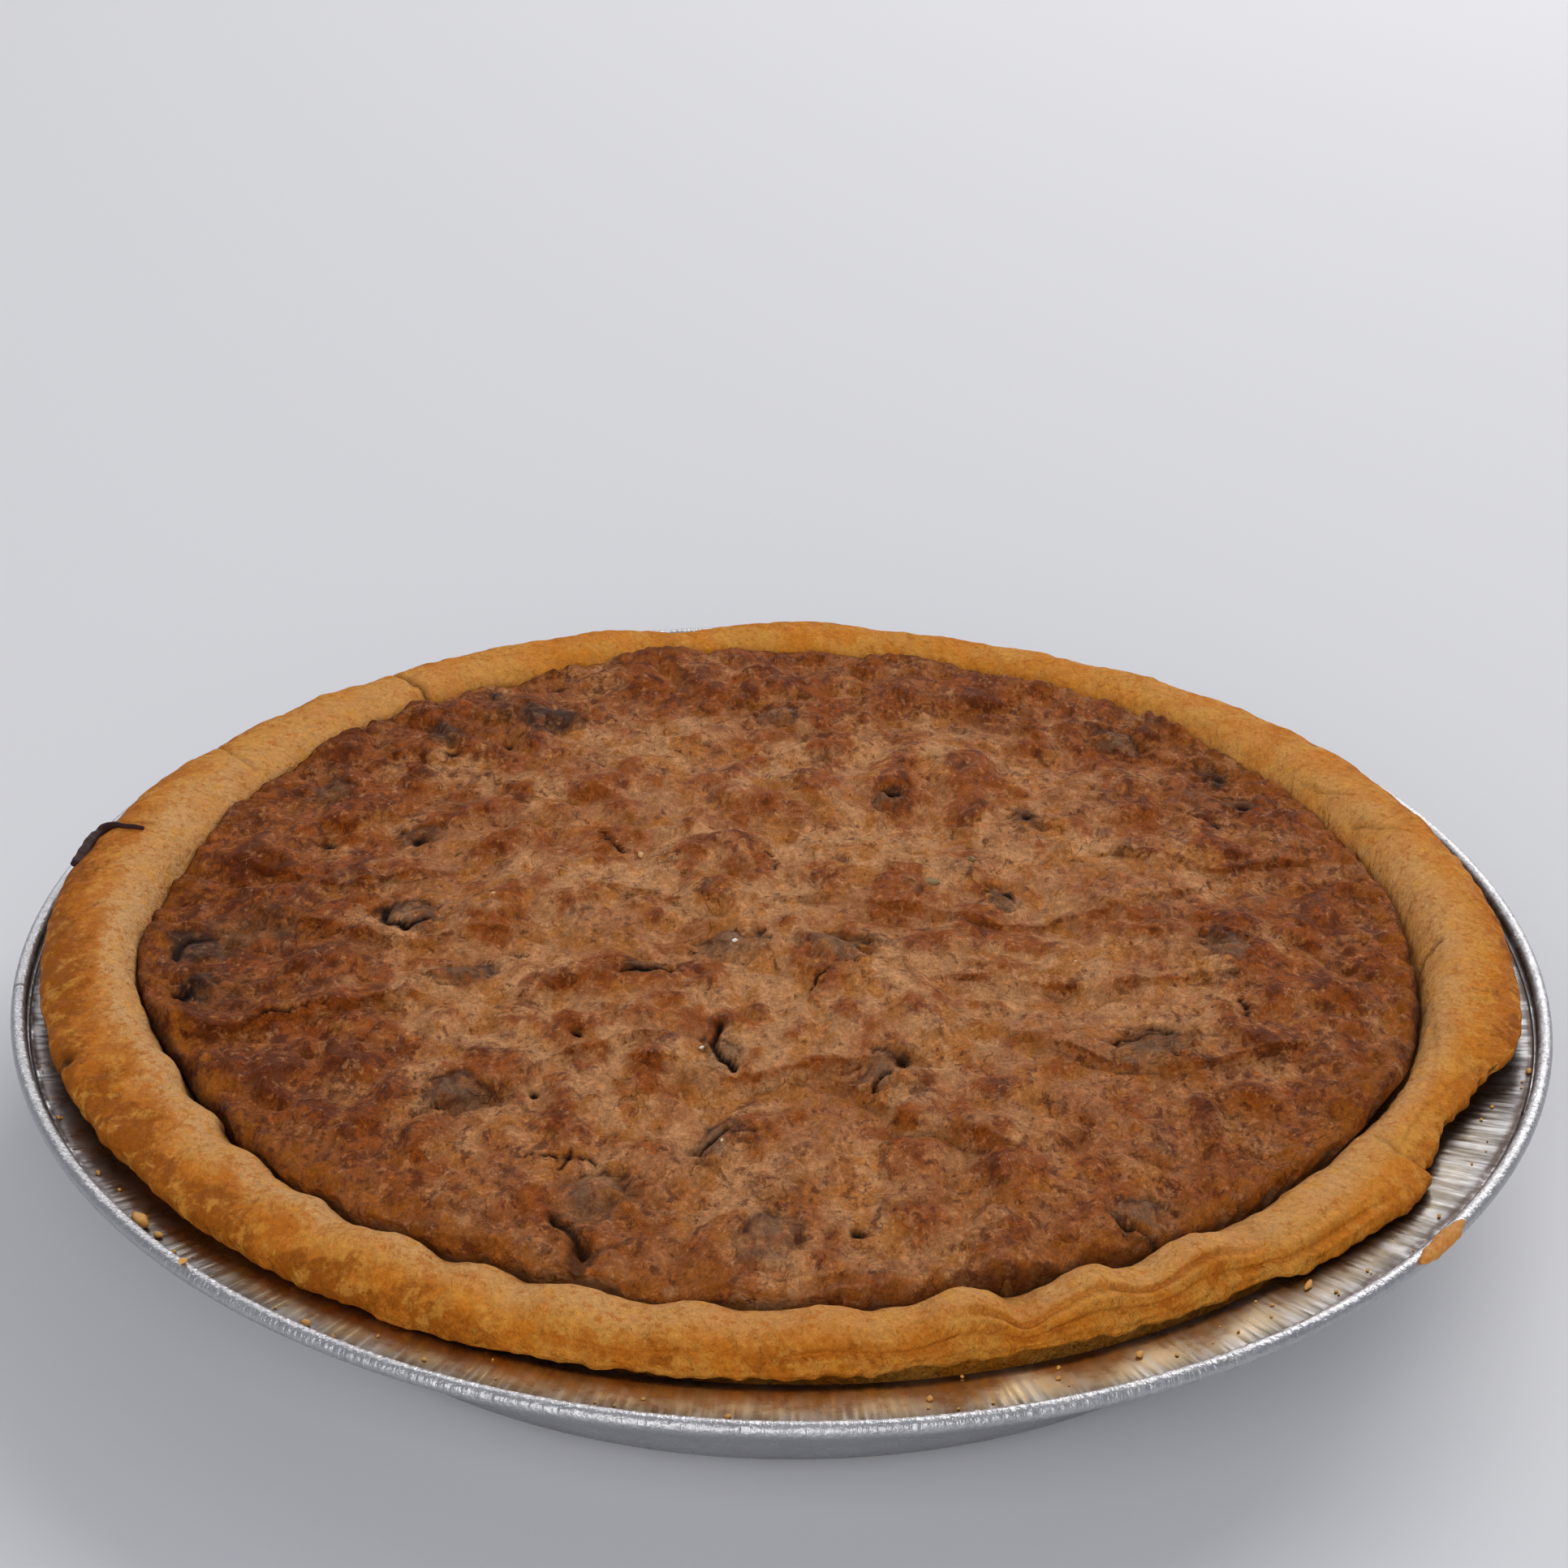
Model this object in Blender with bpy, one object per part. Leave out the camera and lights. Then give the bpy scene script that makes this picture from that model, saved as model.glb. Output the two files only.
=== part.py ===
"""A chocolate-chip cookie pie in its foil tin.

Three pieces, each a closed solid: the foil tin, the open pastry case with its
hand-pinched rim, and the cookie filling that bakes up inside it.
The frame's origin is the middle of the tin's base, on the table; +Z is up and
the photographed front of the pie faces -Y (270 degrees).  Angles run
counter-clockwise from +X, seen from above.  Units are metres.
"""

import math

import bmesh
import bpy
from mathutils import Vector, noise
from mathutils.geometry import delaunay_2d_cdt

MM = 0.001
GAP = 0.3 * MM                  # clearance between pieces that touch
SEGMENTS = 120                  # facets round the tin, the case and the filling

# --- foil tin: a standard 9-inch pie tin -------------------------------------
FOIL = 0.4 * MM                 # wall thickness as modelled
BASE_RADIUS = 92.0 * MM
BASE_CORNER = 2.5 * MM          # rounding between the base and the side
WALL_TOP_RADIUS = 109.0 * MM
WALL_TOP_HEIGHT = 27.8 * MM
FLANGE_RADIUS = 119.4 * MM      # where the flat, pleated flange meets the bead
FLANGE_HEIGHT = 29.0 * MM
BEAD_CENTRE_RADIUS = 121.0 * MM
BEAD_CENTRE_HEIGHT = 30.0 * MM
BEAD_TUBE = 1.5 * MM            # radius of the rolled edge
BEAD_FACETS = 9                 # points on the rolled edge's round outline
BEAD_FROM = 195                 # degrees round the rolled edge where the flange meets it
BEAD_TO = -130                  # and where its underside ends

# --- pastry case -------------------------------------------------------------
PASTRY = 4.2 * MM               # thickness of the pastry on base and side
CASE_CORNER = 3.5 * MM          # rounding inside the case, between base and side
UNDERCUT = 2.2 * MM             # how far the rim's underside draws in from its edge
UNDERCUT_RISE = 3.6 * MM        # and how far it lies below that edge
ROLL_START_HEIGHT = 23.5 * MM   # where the pastry leaves the tin's side
NECK_INSET = 1.0 * MM           # the pastry's clearance inside the tin's upper edge
LIP_REACH = 2.0 * MM            # how far past that edge the pastry lies on the flange
LEAST_STEP = 0.4 * MM           # least distance between the points under the rim
# Outer edge of the rim, where it is widest: (angle, radius, height); lengths in these tables in mm.
RIM_EDGE = (
    (5, 116.9, 34.0), (30, 117.2, 33.6), (55, 115.4, 33.0), (71, 112.8, 32.5),
    (85, 114.2, 32.5), (94, 114.2, 32.5), (100, 111.4, 32.4), (106, 113.6, 32.5),
    (118, 113.8, 32.5), (140, 115.8, 33.0), (165, 118.0, 34.0), (188, 118.0, 34.0),
    (205, 116.6, 33.4), (217, 114.8, 32.6), (224, 113.9, 31.8), (236, 112.2, 30.4), (247, 111.0, 29.8),
    (258, 110.0, 29.5), (270, 109.0, 29.4), (283, 107.6, 29.3), (292, 108.0, 29.3), (305, 108.7, 29.3),
    (312, 109.7, 29.5), (318, 110.5, 29.8), (325, 112.2, 30.2), (331, 110.5, 30.6), (336, 110.7, 31.2),
    (341, 113.2, 32.2), (345, 116.6, 33.1), (352, 117.4, 33.7),
)
# Crest of the rim: (angle, radius, height).
RIM_CREST = (
    (0, 108.0, 38.2), (40, 108.0, 38.4), (71, 107.4, 37.6), (92, 108.0, 38.0),
    (100, 106.4, 37.5), (108, 108.0, 38.0), (140, 108.2, 38.4), (180, 109.2, 38.6),
    (200, 107.6, 36.4), (218, 106.4, 34.4), (245, 104.6, 34.0), (280, 103.4, 33.8),
    (310, 104.4, 33.6), (335, 105.6, 34.0), (348, 107.0, 36.6),
)
# Foot of the rim's inner face, where the filling begins: (angle, radius, height).
RIM_FOOT = (
    (0, 101.2, 31.4), (22, 100.6, 33.0), (60, 100.4, 33.4), (88, 101.0, 35.2),
    (110, 101.0, 35.0), (122, 100.6, 34.0), (135, 101.0, 34.8), (155, 101.0, 34.2),
    (170, 101.4, 32.6), (187, 103.2, 31.6), (203, 100.8, 31.0), (230, 99.6, 30.8),
    (270, 98.8, 31.0), (315, 99.4, 31.0), (340, 102.2, 31.0),
)
# Lobes left between the pinches: (angle, half width in degrees, height, bulge inwards).
LOBES = (
    (205.5, 4.5, 0.6, 1.0), (213.5, 4.0, 0.6, 1.1), (221, 3.8, 0.7, 0.9), (229.5, 4.2, 0.8, 0.9),
    (238.5, 5.0, 1.0, 1.1), (246.5, 3.8, 0.9, 0.7), (254.5, 4.8, 1.3, 0.5), (264, 4.6, 1.4, 0.5),
    (273.5, 4.5, 1.7, 0.4), (284, 4.8, 3.0, 0.1), (288.6, 2.4, -1.5, -0.2), (294.2, 4.6, 2.8, 0.1),
    (304, 5.2, 2.7, 0.3),
)

# Burnt sliver of chocolate up the rim's shoulder:
# (angle, share of the way from the edge to the crest, width in mm).
SLIVER = ((173.2, 0.20, 1.0), (171.6, 0.22, 2.3), (169.9, 0.24, 2.8), (168.4, 0.28, 2.4),
          (167.9, 0.42, 1.5), (168.3, 0.62, 0.9), (168.9, 0.82, 0.7), (169.1, 1.02, 0.5))
SLIVER_RISE = 1.1 * MM          # how far it stands out of the pastry
# Scrap of dough on the rolled edge: (angle, degrees outwards from its top, width in mm).
SCRAP = ((317.3, 50, 1.0), (318.5, 46, 2.2), (320.1, 42, 2.6), (321.7, 36, 2.3), (322.9, 30, 1.0))
SCRAP_RISE = 0.9 * MM           # thickness of the scrap
STRIP_SIDES = 6                 # facets round the sliver and the scrap

# --- cookie filling ----------------------------------------------------------
# Height of the skin just inside its rounded edge: (angle, height).
SKIN_EDGE = (
    (0, 35.6), (40, 36.0), (90, 36.3), (135, 35.8), (165, 34.6), (185, 33.4), (200, 34.0),
    (220, 34.6), (270, 34.6), (315, 35.0), (345, 35.6),
)
CENTRE_HEIGHT = 37.8 * MM
# How far in the edge starts to roll over: (angle, width in mm).
EDGE_ROLL = ((0, 4.6), (60, 5.0), (180, 4.8), (210, 3.8), (240, 2.8), (300, 2.8), (335, 4.0))
SKIN_SPACING = 4.65 * MM        # distance between the points of the skin
SKIN_INSET = 2.7 * MM           # distance from the filling's edge to the nearest of them
# Lumps in the skin, largest first: (width, height).
LUMPS = ((26 * MM, 1.5 * MM), (12 * MM, 0.9 * MM))
LUMP_OFFSET = Vector((3.1, 7.7, 1.3))     # picks the lump pattern
# Puffed humps with creases between them, whose pattern is pushed about by a warp.
PUFF_WIDTH = 13.0 * MM
PUFF_HEIGHT = 3.0 * MM
PUFF_MEAN = 0.2                 # the pattern's mean, so that the skin's height stays
PUFF_OFFSET = Vector((4.0, 4.0, 1.0))
WARP_WIDTH = 8.0 * MM
WARP = 2.2 * MM
# Chocolate chips that break the skin: (x, y, length, width, turn in degrees).
CHIPS = (
    (-43, 68, 10, 8, 10), (-61, 63, 8, 6, 130), (-53, 78, 5, 4, 140), (75, 53.5, 7, 5, 120),
    (78, 42, 6, 5, 30), (18.3, 39, 6, 5, 90), (41, 33, 7, 5, 80), (35.6, 8.6, 7, 5, 100),
    (-62, 26, 7, 5, 40), (-60, -1, 11, 8, 150), (-92, -9, 9, 8, 90), (-91, -22, 8, 6, 100),
    (-7.7, -10.3, 9, 7, 20), (8.3, -12.2, 9, 8, 70), (-22, -19, 7, 4, 0), (-50, -19, 8, 6, 30),
    (56, -37.5, 11, 8, 30), (-9, -42, 9, 5, 110), (16, -46, 8, 6, 60), (-48, -53, 9, 7, 15),
    (-8, -64, 9, 7, 80), (-26, -76, 10, 8, 40), (-1, -87, 9, 7, 95), (51, -78, 9, 6, 33),
    (60, 66, 8, 6, 140), (-1.5, 73, 8, 6, 50), (70, -7, 9, 7, 110), (-78, 42, 8, 6, 120),
)
CHIP_STANDS_PROUD = 0.9 * MM    # how far a chip's top rises over the skin
CHIP_DEPTH = 5.0 * MM           # thickness of a chip

# --- looks -------------------------------------------------------------------
FOIL_COLOUR = (0.78, 0.78, 0.79, 1.0)
PASTRY_COLOUR = (0.56, 0.27, 0.075, 1.0)
COOKIE_COLOUR = (0.27, 0.115, 0.055, 1.0)
SHARP_ANGLE = 50                # degrees over which an edge is shaded sharp


def clear_scene():
    for obj in list(bpy.data.objects):
        bpy.data.objects.remove(obj)


def around(stations, angle):
    """Smoothly interpolate the stations' values round the full circle."""
    count = len(stations)
    turns = [station[0] % 360.0 for station in stations]
    first = min(range(count), key=lambda i: (angle - turns[i]) % 360.0)
    before, after, beyond = ((first + step) % count for step in (-1, 1, 2))
    span = (turns[after] - turns[first]) % 360.0
    span_before = (turns[first] - turns[before]) % 360.0
    span_beyond = (turns[beyond] - turns[after]) % 360.0
    t = ((angle - turns[first]) % 360.0) / span
    blended = []
    for k in range(1, len(stations[0])):
        p0, p1, p2, p3 = (stations[i][k] for i in (before, first, after, beyond))
        slope1 = (p2 - p0) / (span + span_before) * span
        slope2 = (p3 - p1) / (span + span_beyond) * span
        blended.append(
            (2 * t ** 3 - 3 * t ** 2 + 1) * p1 + (t ** 3 - 2 * t ** 2 + t) * slope1
            + (3 * t ** 2 - 2 * t ** 3) * p2 + (t ** 3 - t ** 2) * slope2
        )
    return blended


def lobe(angle):
    """How far the pinched lobes raise the rim at an angle, and how far they bulge inwards."""
    rise = bulge = 0.0
    for middle, half_width, height, inwards in LOBES:
        away = (angle - middle + 180.0) % 360.0 - 180.0
        if abs(away) < half_width:
            share = math.cos(away / half_width * math.pi / 2) ** 2
            rise += height * share
            bulge += inwards * share
    return rise * MM, bulge * MM


def tin_wall_radius(height, outwards):
    """Radius of the tin's sloping side, or of a surface parallel to it."""
    slope = (WALL_TOP_RADIUS - BASE_RADIUS) / WALL_TOP_HEIGHT
    return BASE_RADIUS + slope * height + outwards * math.hypot(1.0, slope)


def flange_top(radius):
    """Height of the flange's upper face at a radius."""
    rise = (FLANGE_HEIGHT - WALL_TOP_HEIGHT) / (FLANGE_RADIUS - WALL_TOP_RADIUS)
    return WALL_TOP_HEIGHT + max(radius - WALL_TOP_RADIUS, 0.0) * rise


def quarter(start, end, steps, corner):
    """Points on a quarter ellipse, leaving out the start.

    At its start the curve runs along the radius if the corner is "flat" and
    straight up or down if it is "steep".
    """
    points = []
    for step in range(1, steps + 1):
        t = step / steps * math.pi / 2
        along, across = (math.sin(t), 1 - math.cos(t))
        if corner == "steep":
            along, across = across, along
        points.append((start[0] + (end[0] - start[0]) * along,
                       start[1] + (end[1] - start[1]) * across))
    return points


def rim_guides(angle):
    """The rim's edge, crest and foot at an angle, as (radius, height)."""
    edge_radius, edge_height = around(RIM_EDGE, angle)
    crest_radius, crest_height = around(RIM_CREST, angle)
    foot_radius, foot_height = around(RIM_FOOT, angle)
    rise, bulge = lobe(angle)
    return ((edge_radius * MM, edge_height * MM),
            (crest_radius * MM - bulge, crest_height * MM + rise),
            (foot_radius * MM - bulge, foot_height * MM))


def inner_wall(angle):
    """The pastry's inner face from the middle of its floor up to the rim's foot."""
    foot_radius, foot_height = rim_guides(angle)[2]
    floor = FOIL + GAP + PASTRY
    corner_radius = tin_wall_radius(floor, -floor) - CASE_CORNER
    low = floor + CASE_CORNER
    low_radius = tin_wall_radius(low, -floor)
    middle = (low + foot_height) / 2
    middle_radius = (low_radius + foot_radius) / 2
    return [(0.0, floor), (corner_radius, floor), (low_radius, low),
            (middle_radius, middle), (foot_radius, foot_height)]


def case_section(angle, steps=3):
    """The pastry's outline at an angle, from the axis round and back to it."""
    edge, crest, foot = rim_guides(angle)
    under = FOIL + GAP
    corner_radius = tin_wall_radius(under, -under) - BASE_CORNER
    low = under + BASE_CORNER
    tuck_radius = edge[0] - UNDERCUT
    tuck_height = max(flange_top(tuck_radius) + 2 * GAP, edge[1] - UNDERCUT_RISE)
    neck_radius = min(WALL_TOP_RADIUS, tuck_radius + LEAST_STEP) - NECK_INSET
    lip_radius = min(WALL_TOP_RADIUS + LIP_REACH, tuck_radius - GAP)
    outline = [(0.0, under), (corner_radius, under),
               (tin_wall_radius(low, -under), low),
               (tin_wall_radius(ROLL_START_HEIGHT, -under), ROLL_START_HEIGHT),
               (neck_radius, WALL_TOP_HEIGHT),
               (lip_radius, flange_top(lip_radius) + GAP),
               (tuck_radius, tuck_height)]
    outline += quarter((tuck_radius, tuck_height), edge, steps, "flat")
    outline += quarter(edge, crest, steps, "steep")
    outline += quarter(crest, foot, steps, "flat")
    outline += reversed(inner_wall(angle)[:-1])
    return outline


def tin_section():
    """The tin's outline: up its inside, over the bead and back underneath."""
    outline = [(0.0, FOIL), (tin_wall_radius(FOIL, -FOIL) - BASE_CORNER, FOIL),
               (tin_wall_radius(FOIL + BASE_CORNER, -FOIL), FOIL + BASE_CORNER),
               (WALL_TOP_RADIUS, WALL_TOP_HEIGHT),
               (FLANGE_RADIUS, FLANGE_HEIGHT)]
    for step in range(BEAD_FACETS):
        turn = math.radians(BEAD_FROM + (BEAD_TO - BEAD_FROM) * step / (BEAD_FACETS - 1))
        outline.append((BEAD_CENTRE_RADIUS + BEAD_TUBE * math.cos(turn),
                        BEAD_CENTRE_HEIGHT + BEAD_TUBE * math.sin(turn)))
    outline += [(FLANGE_RADIUS, FLANGE_HEIGHT - FOIL),
                (WALL_TOP_RADIUS + FOIL, WALL_TOP_HEIGHT - FOIL),
                (tin_wall_radius(BASE_CORNER, 0.0), BASE_CORNER),
                (BASE_RADIUS - BASE_CORNER, 0.0), (0.0, 0.0)]
    return outline


def filling_side(angle):
    """The filling's outline at an angle, from the middle of its base to its edge."""
    return [(max(radius - GAP, 0.0), height + GAP) for radius, height in inner_wall(angle)]


def skin_height(x, y):
    """Height of the filling's lumpy skin over a point."""
    radius = math.hypot(x, y)
    angle = math.degrees(math.atan2(y, x))
    foot, base = filling_side(angle)[-1]
    across = min(radius / foot, 1.0)
    edge_height = around(SKIN_EDGE, angle)[0] * MM
    height = CENTRE_HEIGHT + (edge_height - CENTRE_HEIGHT) * across ** 2.5
    spot = Vector((x, y, 0.0))
    for width, rise in LUMPS:
        height += rise * noise.noise(spot / width + LUMP_OFFSET)
    pushed = spot + WARP * noise.noise_vector(spot / WARP_WIDTH)
    puff = abs(noise.noise(pushed / PUFF_WIDTH + PUFF_OFFSET))
    height += PUFF_HEIGHT * (puff - PUFF_MEAN)
    roll = around(EDGE_ROLL, angle)[0] * MM
    inset = min(max((radius - foot + roll) / roll, 0.0), 1.0)
    return base + (height - base) * math.sqrt(1.0 - inset ** 2)


def add_lathe(bm, sections):
    """Turn one outline per angle into a surface and return its last ring.

    A point on the axis becomes one vertex that all the angles share.
    """
    rings = []
    for k in range(len(sections[0])):
        if sections[0][k][0] == 0.0:
            rings.append([bm.verts.new((0.0, 0.0, sections[0][k][1]))])
            continue
        ring = []
        for step, section in enumerate(sections):
            angle = 2 * math.pi * step / len(sections)
            radius, height = section[k]
            ring.append(bm.verts.new((radius * math.cos(angle), radius * math.sin(angle), height)))
        rings.append(ring)
    for lower, upper in zip(rings, rings[1:]):
        join_rings(bm, lower, upper)
    return rings[-1]


def join_rings(bm, lower, upper):
    """Triangles between two rings, either of which may be a single point."""
    count = max(len(lower), len(upper))
    for step in range(count):
        nxt = (step + 1) % count
        if len(lower) == 1:
            bm.faces.new((lower[0], upper[nxt], upper[step]))
        elif len(upper) == 1:
            bm.faces.new((lower[step], lower[nxt], upper[0]))
        else:
            bm.faces.new((lower[step], lower[nxt], upper[nxt]))
            bm.faces.new((lower[step], upper[nxt], upper[step]))


def finish_object(name, bm, material):
    """Turn the bmesh into a smooth-shaded object with outward faces."""
    bmesh.ops.recalc_face_normals(bm, faces=bm.faces)
    mesh = bpy.data.meshes.new(name)
    bm.to_mesh(mesh)
    bm.free()
    mesh.shade_smooth()
    mesh.set_sharp_from_angle(angle=math.radians(SHARP_ANGLE))
    mesh.materials.append(material)
    obj = bpy.data.objects.new(name, mesh)
    bpy.context.scene.collection.objects.link(obj)
    return obj


def make_material(name, colour, roughness, metallic):
    material = bpy.data.materials.new(name)
    material.use_nodes = True
    shader = material.node_tree.nodes["Principled BSDF"]
    shader.inputs["Base Color"].default_value = colour
    shader.inputs["Roughness"].default_value = roughness
    shader.inputs["Metallic"].default_value = metallic
    return material


def build_tin(material):
    bm = bmesh.new()
    add_lathe(bm, [tin_section()] * SEGMENTS)
    tin = finish_object("foil_tin", bm, material)
    fuse(tin, [build_strip([bead_point(*station) for station in SCRAP], SCRAP_RISE, material)])
    return tin


def build_case(material):
    bm = bmesh.new()
    sections = [case_section(360.0 * step / SEGMENTS) for step in range(SEGMENTS)]
    add_lathe(bm, sections)
    case = finish_object("pie_crust", bm, material)
    fuse(case, [build_strip([rim_point(*station) for station in SLIVER], SLIVER_RISE, material)])
    return case


def rim_point(angle, share, width):
    """A place on the rim between edge and crest, the way out of it and a width."""
    edge, crest, _ = rim_guides(angle)
    turn = share * math.pi / 2
    out = turned(angle, math.cos(turn), math.sin(turn))
    radius = edge[0] + (crest[0] - edge[0]) * (1 - math.cos(turn))
    height = edge[1] + (crest[1] - edge[1]) * math.sin(turn)
    return turned(angle, radius, height), out, width * MM


def bead_point(angle, outwards, width):
    """A place on the rolled edge, the way out of it and a width."""
    lean = math.radians(outwards)
    out = turned(angle, math.sin(lean), math.cos(lean))
    return turned(angle, BEAD_CENTRE_RADIUS, BEAD_CENTRE_HEIGHT) + out * BEAD_TUBE, out, width * MM


def turned(angle, radius, height):
    """The point or direction at a radius and a height, at an angle in degrees."""
    turn = math.radians(angle)
    return Vector((radius * math.cos(turn), radius * math.sin(turn), height))


def build_strip(stations, rise, material):
    """A rounded strip along (place, way out, width) stations, half sunk in what it lies on."""
    bm = bmesh.new()
    places = [place for place, _, _ in stations]
    rings = [[bm.verts.new(places[0] + (places[0] - places[1]) / 2)]]
    for k, (place, out, width) in enumerate(stations):
        ahead = places[min(k + 1, len(places) - 1)] - places[max(k - 1, 0)]
        across = ahead.cross(out).normalized() * width / 2
        ring = []
        for side in range(STRIP_SIDES):
            turn = 2 * math.pi * side / STRIP_SIDES
            ring.append(bm.verts.new(place + across * math.cos(turn) + out * rise * math.sin(turn)))
        rings.append(ring)
    rings.append([bm.verts.new(places[-1] + (places[-1] - places[-2]) / 2)])
    for lower, upper in zip(rings, rings[1:]):
        join_rings(bm, lower, upper)
    return finish_object("strip", bm, material)


def skin_points():
    """Evenly scattered points inside the filling's edge, in a sunflower spiral."""
    golden_turn = math.pi * (3 - math.sqrt(5))
    spread = SKIN_SPACING / 2
    count = int((WALL_TOP_RADIUS / spread) ** 2)
    points = []
    for k in range(count):
        radius = spread * math.sqrt(k + 0.5)
        angle = k * golden_turn
        foot_radius = rim_guides(math.degrees(angle))[2][0]
        if radius < foot_radius - GAP - SKIN_INSET:
            points.append((radius * math.cos(angle), radius * math.sin(angle)))
    return points


def build_filling(material):
    """The cookie's body under its lumpy skin, with the chips fused on."""
    bm = bmesh.new()
    sections = [filling_side(360.0 * step / SEGMENTS) for step in range(SEGMENTS)]
    edge_ring = add_lathe(bm, sections)
    inner = [bm.verts.new((x, y, skin_height(x, y))) for x, y in skin_points()]
    verts = edge_ring + inner
    flat = [vert.co.to_2d() for vert in verts]
    count = len(edge_ring)
    edges = [(i, (i + 1) % count) for i in range(count)]
    triangles = delaunay_2d_cdt(flat, edges, [], 1, 1e-7)[2]
    for triangle in triangles:
        bm.faces.new([verts[i] for i in triangle])
    body = finish_object("cookie_filling", bm, material)
    fuse(body, [build_chip(chip, material) for chip in CHIPS])
    return body


def build_chip(chip, material):
    """A rounded, flattened chocolate chip, sunk in the skin."""
    x, y, length, width, turn = chip
    x, y, length, width = (value * MM for value in (x, y, length, width))
    bm = bmesh.new()
    bmesh.ops.create_icosphere(bm, subdivisions=1, radius=0.5)
    bmesh.ops.scale(bm, vec=(length, width, CHIP_DEPTH), verts=bm.verts)
    turned = math.radians(turn)
    for vert in bm.verts:
        flat_x, flat_y, up = vert.co
        vert.co = (x + flat_x * math.cos(turned) - flat_y * math.sin(turned),
                   y + flat_x * math.sin(turned) + flat_y * math.cos(turned),
                   skin_height(x, y) + CHIP_STANDS_PROUD - CHIP_DEPTH / 2 + up)
    return finish_object("chip", bm, material)


def fuse(body, bits):
    """Join the bits to the body with one Boolean union and remove them."""
    collection = bpy.data.collections.new("bits")
    bpy.context.scene.collection.children.link(collection)
    for bit in bits:
        bpy.context.scene.collection.objects.unlink(bit)
        collection.objects.link(bit)
    union = body.modifiers.new("fuse", "BOOLEAN")
    union.operation = "UNION"
    union.operand_type = "COLLECTION"
    union.collection = collection
    bpy.context.view_layer.update()
    evaluated = body.evaluated_get(bpy.context.evaluated_depsgraph_get())
    fused = bpy.data.meshes.new_from_object(evaluated)
    body.modifiers.clear()
    body.data = fused
    for bit in bits:
        bpy.data.objects.remove(bit)
    bpy.data.collections.remove(collection)


def main():
    clear_scene()
    build_tin(make_material("foil", FOIL_COLOUR, 0.3, 1.0))
    build_case(make_material("pastry", PASTRY_COLOUR, 0.75, 0.0))
    build_filling(make_material("cookie", COOKIE_COLOUR, 0.8, 0.0))


main()
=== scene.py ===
"""The looks of a chocolate-chip cookie pie in its foil tin.

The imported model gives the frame: the middle of the tin's base is the origin,
+Z is up and the photographed front faces -Y (270 degrees).  Angles run
counter-clockwise from +X, seen from above.  Sizes are metres unless a name or
a comment says millimetres.
"""

import math

import bmesh
import bpy
import numpy as np
from mathutils import Matrix, Vector, noise


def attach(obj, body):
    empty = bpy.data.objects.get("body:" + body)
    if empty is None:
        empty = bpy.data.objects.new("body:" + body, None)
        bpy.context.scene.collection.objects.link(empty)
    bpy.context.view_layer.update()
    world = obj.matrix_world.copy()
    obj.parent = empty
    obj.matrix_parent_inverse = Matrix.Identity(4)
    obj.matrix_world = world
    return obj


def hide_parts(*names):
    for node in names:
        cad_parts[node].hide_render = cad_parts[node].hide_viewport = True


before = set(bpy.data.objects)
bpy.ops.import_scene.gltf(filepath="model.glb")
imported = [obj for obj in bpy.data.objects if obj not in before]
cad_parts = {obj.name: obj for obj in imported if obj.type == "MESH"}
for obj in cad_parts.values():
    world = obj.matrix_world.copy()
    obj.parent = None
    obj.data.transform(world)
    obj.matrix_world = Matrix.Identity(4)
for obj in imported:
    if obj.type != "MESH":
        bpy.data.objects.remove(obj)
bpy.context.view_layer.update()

MM = 0.001
RANDOM_SEED = 20

# --- the foil tin ---
FOIL = 0.2 * MM  # thickness of the foil that shows
FOIL_SEGMENTS = 2200
PLEATS = 430
PLEAT_DEPTH = 0.08 * MM  # height of the pleats over and under the smooth foil
# How deep the pleats are round the tin: (angle, share of that height).
PLEAT_SHARE = (
    (0, 0.5), (60, 0.5), (150, 0.6), (185, 1.2), (215, 0.9), (240, 0.4), (285, 0.3), (305, 0.5),
    (325, 0.65),
)
# Painted brown reflection of the crust on the flange: (angle, share), and it fades outwards between two
# radii.
CRUST_REFLECTION = (
    (0, 0.1), (180, 0), (205, 0.25), (225, 0.7), (240, 1), (280, 1), (300, 0.75), (312, 0.35),
    (330, 0.15),
)
CRUST_REFLECTION_FADES = (113.5 * MM, 120 * MM)
# Dark line beside the groove, partly charred sugar and partly painted shade: (angle, radius in mm, share).
SHADE_AND_STAIN_LINE = (
    (0, 119.6, 0.9), (12, 119.4, 0.6), (30, 119.4, 0), (170, 119.4, 0), (182, 119.2, 0.9),
    (205, 119.3, 1), (222, 119.6, 0.4), (240, 119.6, 0.1), (300, 119.2, 0.1), (316, 118.5, 0.6),
    (330, 118.8, 1), (345, 119.4, 1),
)
SHADE_AND_STAIN_WIDTH = 0.6 * MM
LAP_ANGLE = 188.0  # where the rolled edge's ends lap, in degrees
LAP_WIDTH = 0.18
# How much the flange's reflections are dimmed against the rest, a painted darker reflection: (angle, share).
FLANGE_REFLECTION_DIMMING = ((0, 1.0), (150, 0.6), (185, 0.2), (210, 0.4), (235, 1.0))
CRIMPS = 700  # small dents along the rolled edge
CRIMP_DEPTH = 0.05 * MM
GROOVE_DEPTH = 0.7 * MM  # of the channel between the flange and the rolled edge
BASE_RADIUS = 92.0 * MM
BASE_CORNER = 2.5 * MM
WALL_TOP_RADIUS = 109.0 * MM
WALL_TOP_HEIGHT = 27.8 * MM
FLANGE_RADIUS = 119.6 * MM
FLANGE_HEIGHT = 29.1 * MM
BEAD_CENTRE = (121.25 * MM, 30.1 * MM)
BEAD_TUBE = 1.25 * MM
WALL_LIFT = (-0.83, 0.56)  # direction, out and up, of the folds on the side

# --- the pastry case: the same guide curves as its solid ---
CRUST_SEGMENTS = 1200
RIM_RADIUS = 110 * MM  # of the circle that carries the rim's uneven edge
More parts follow.
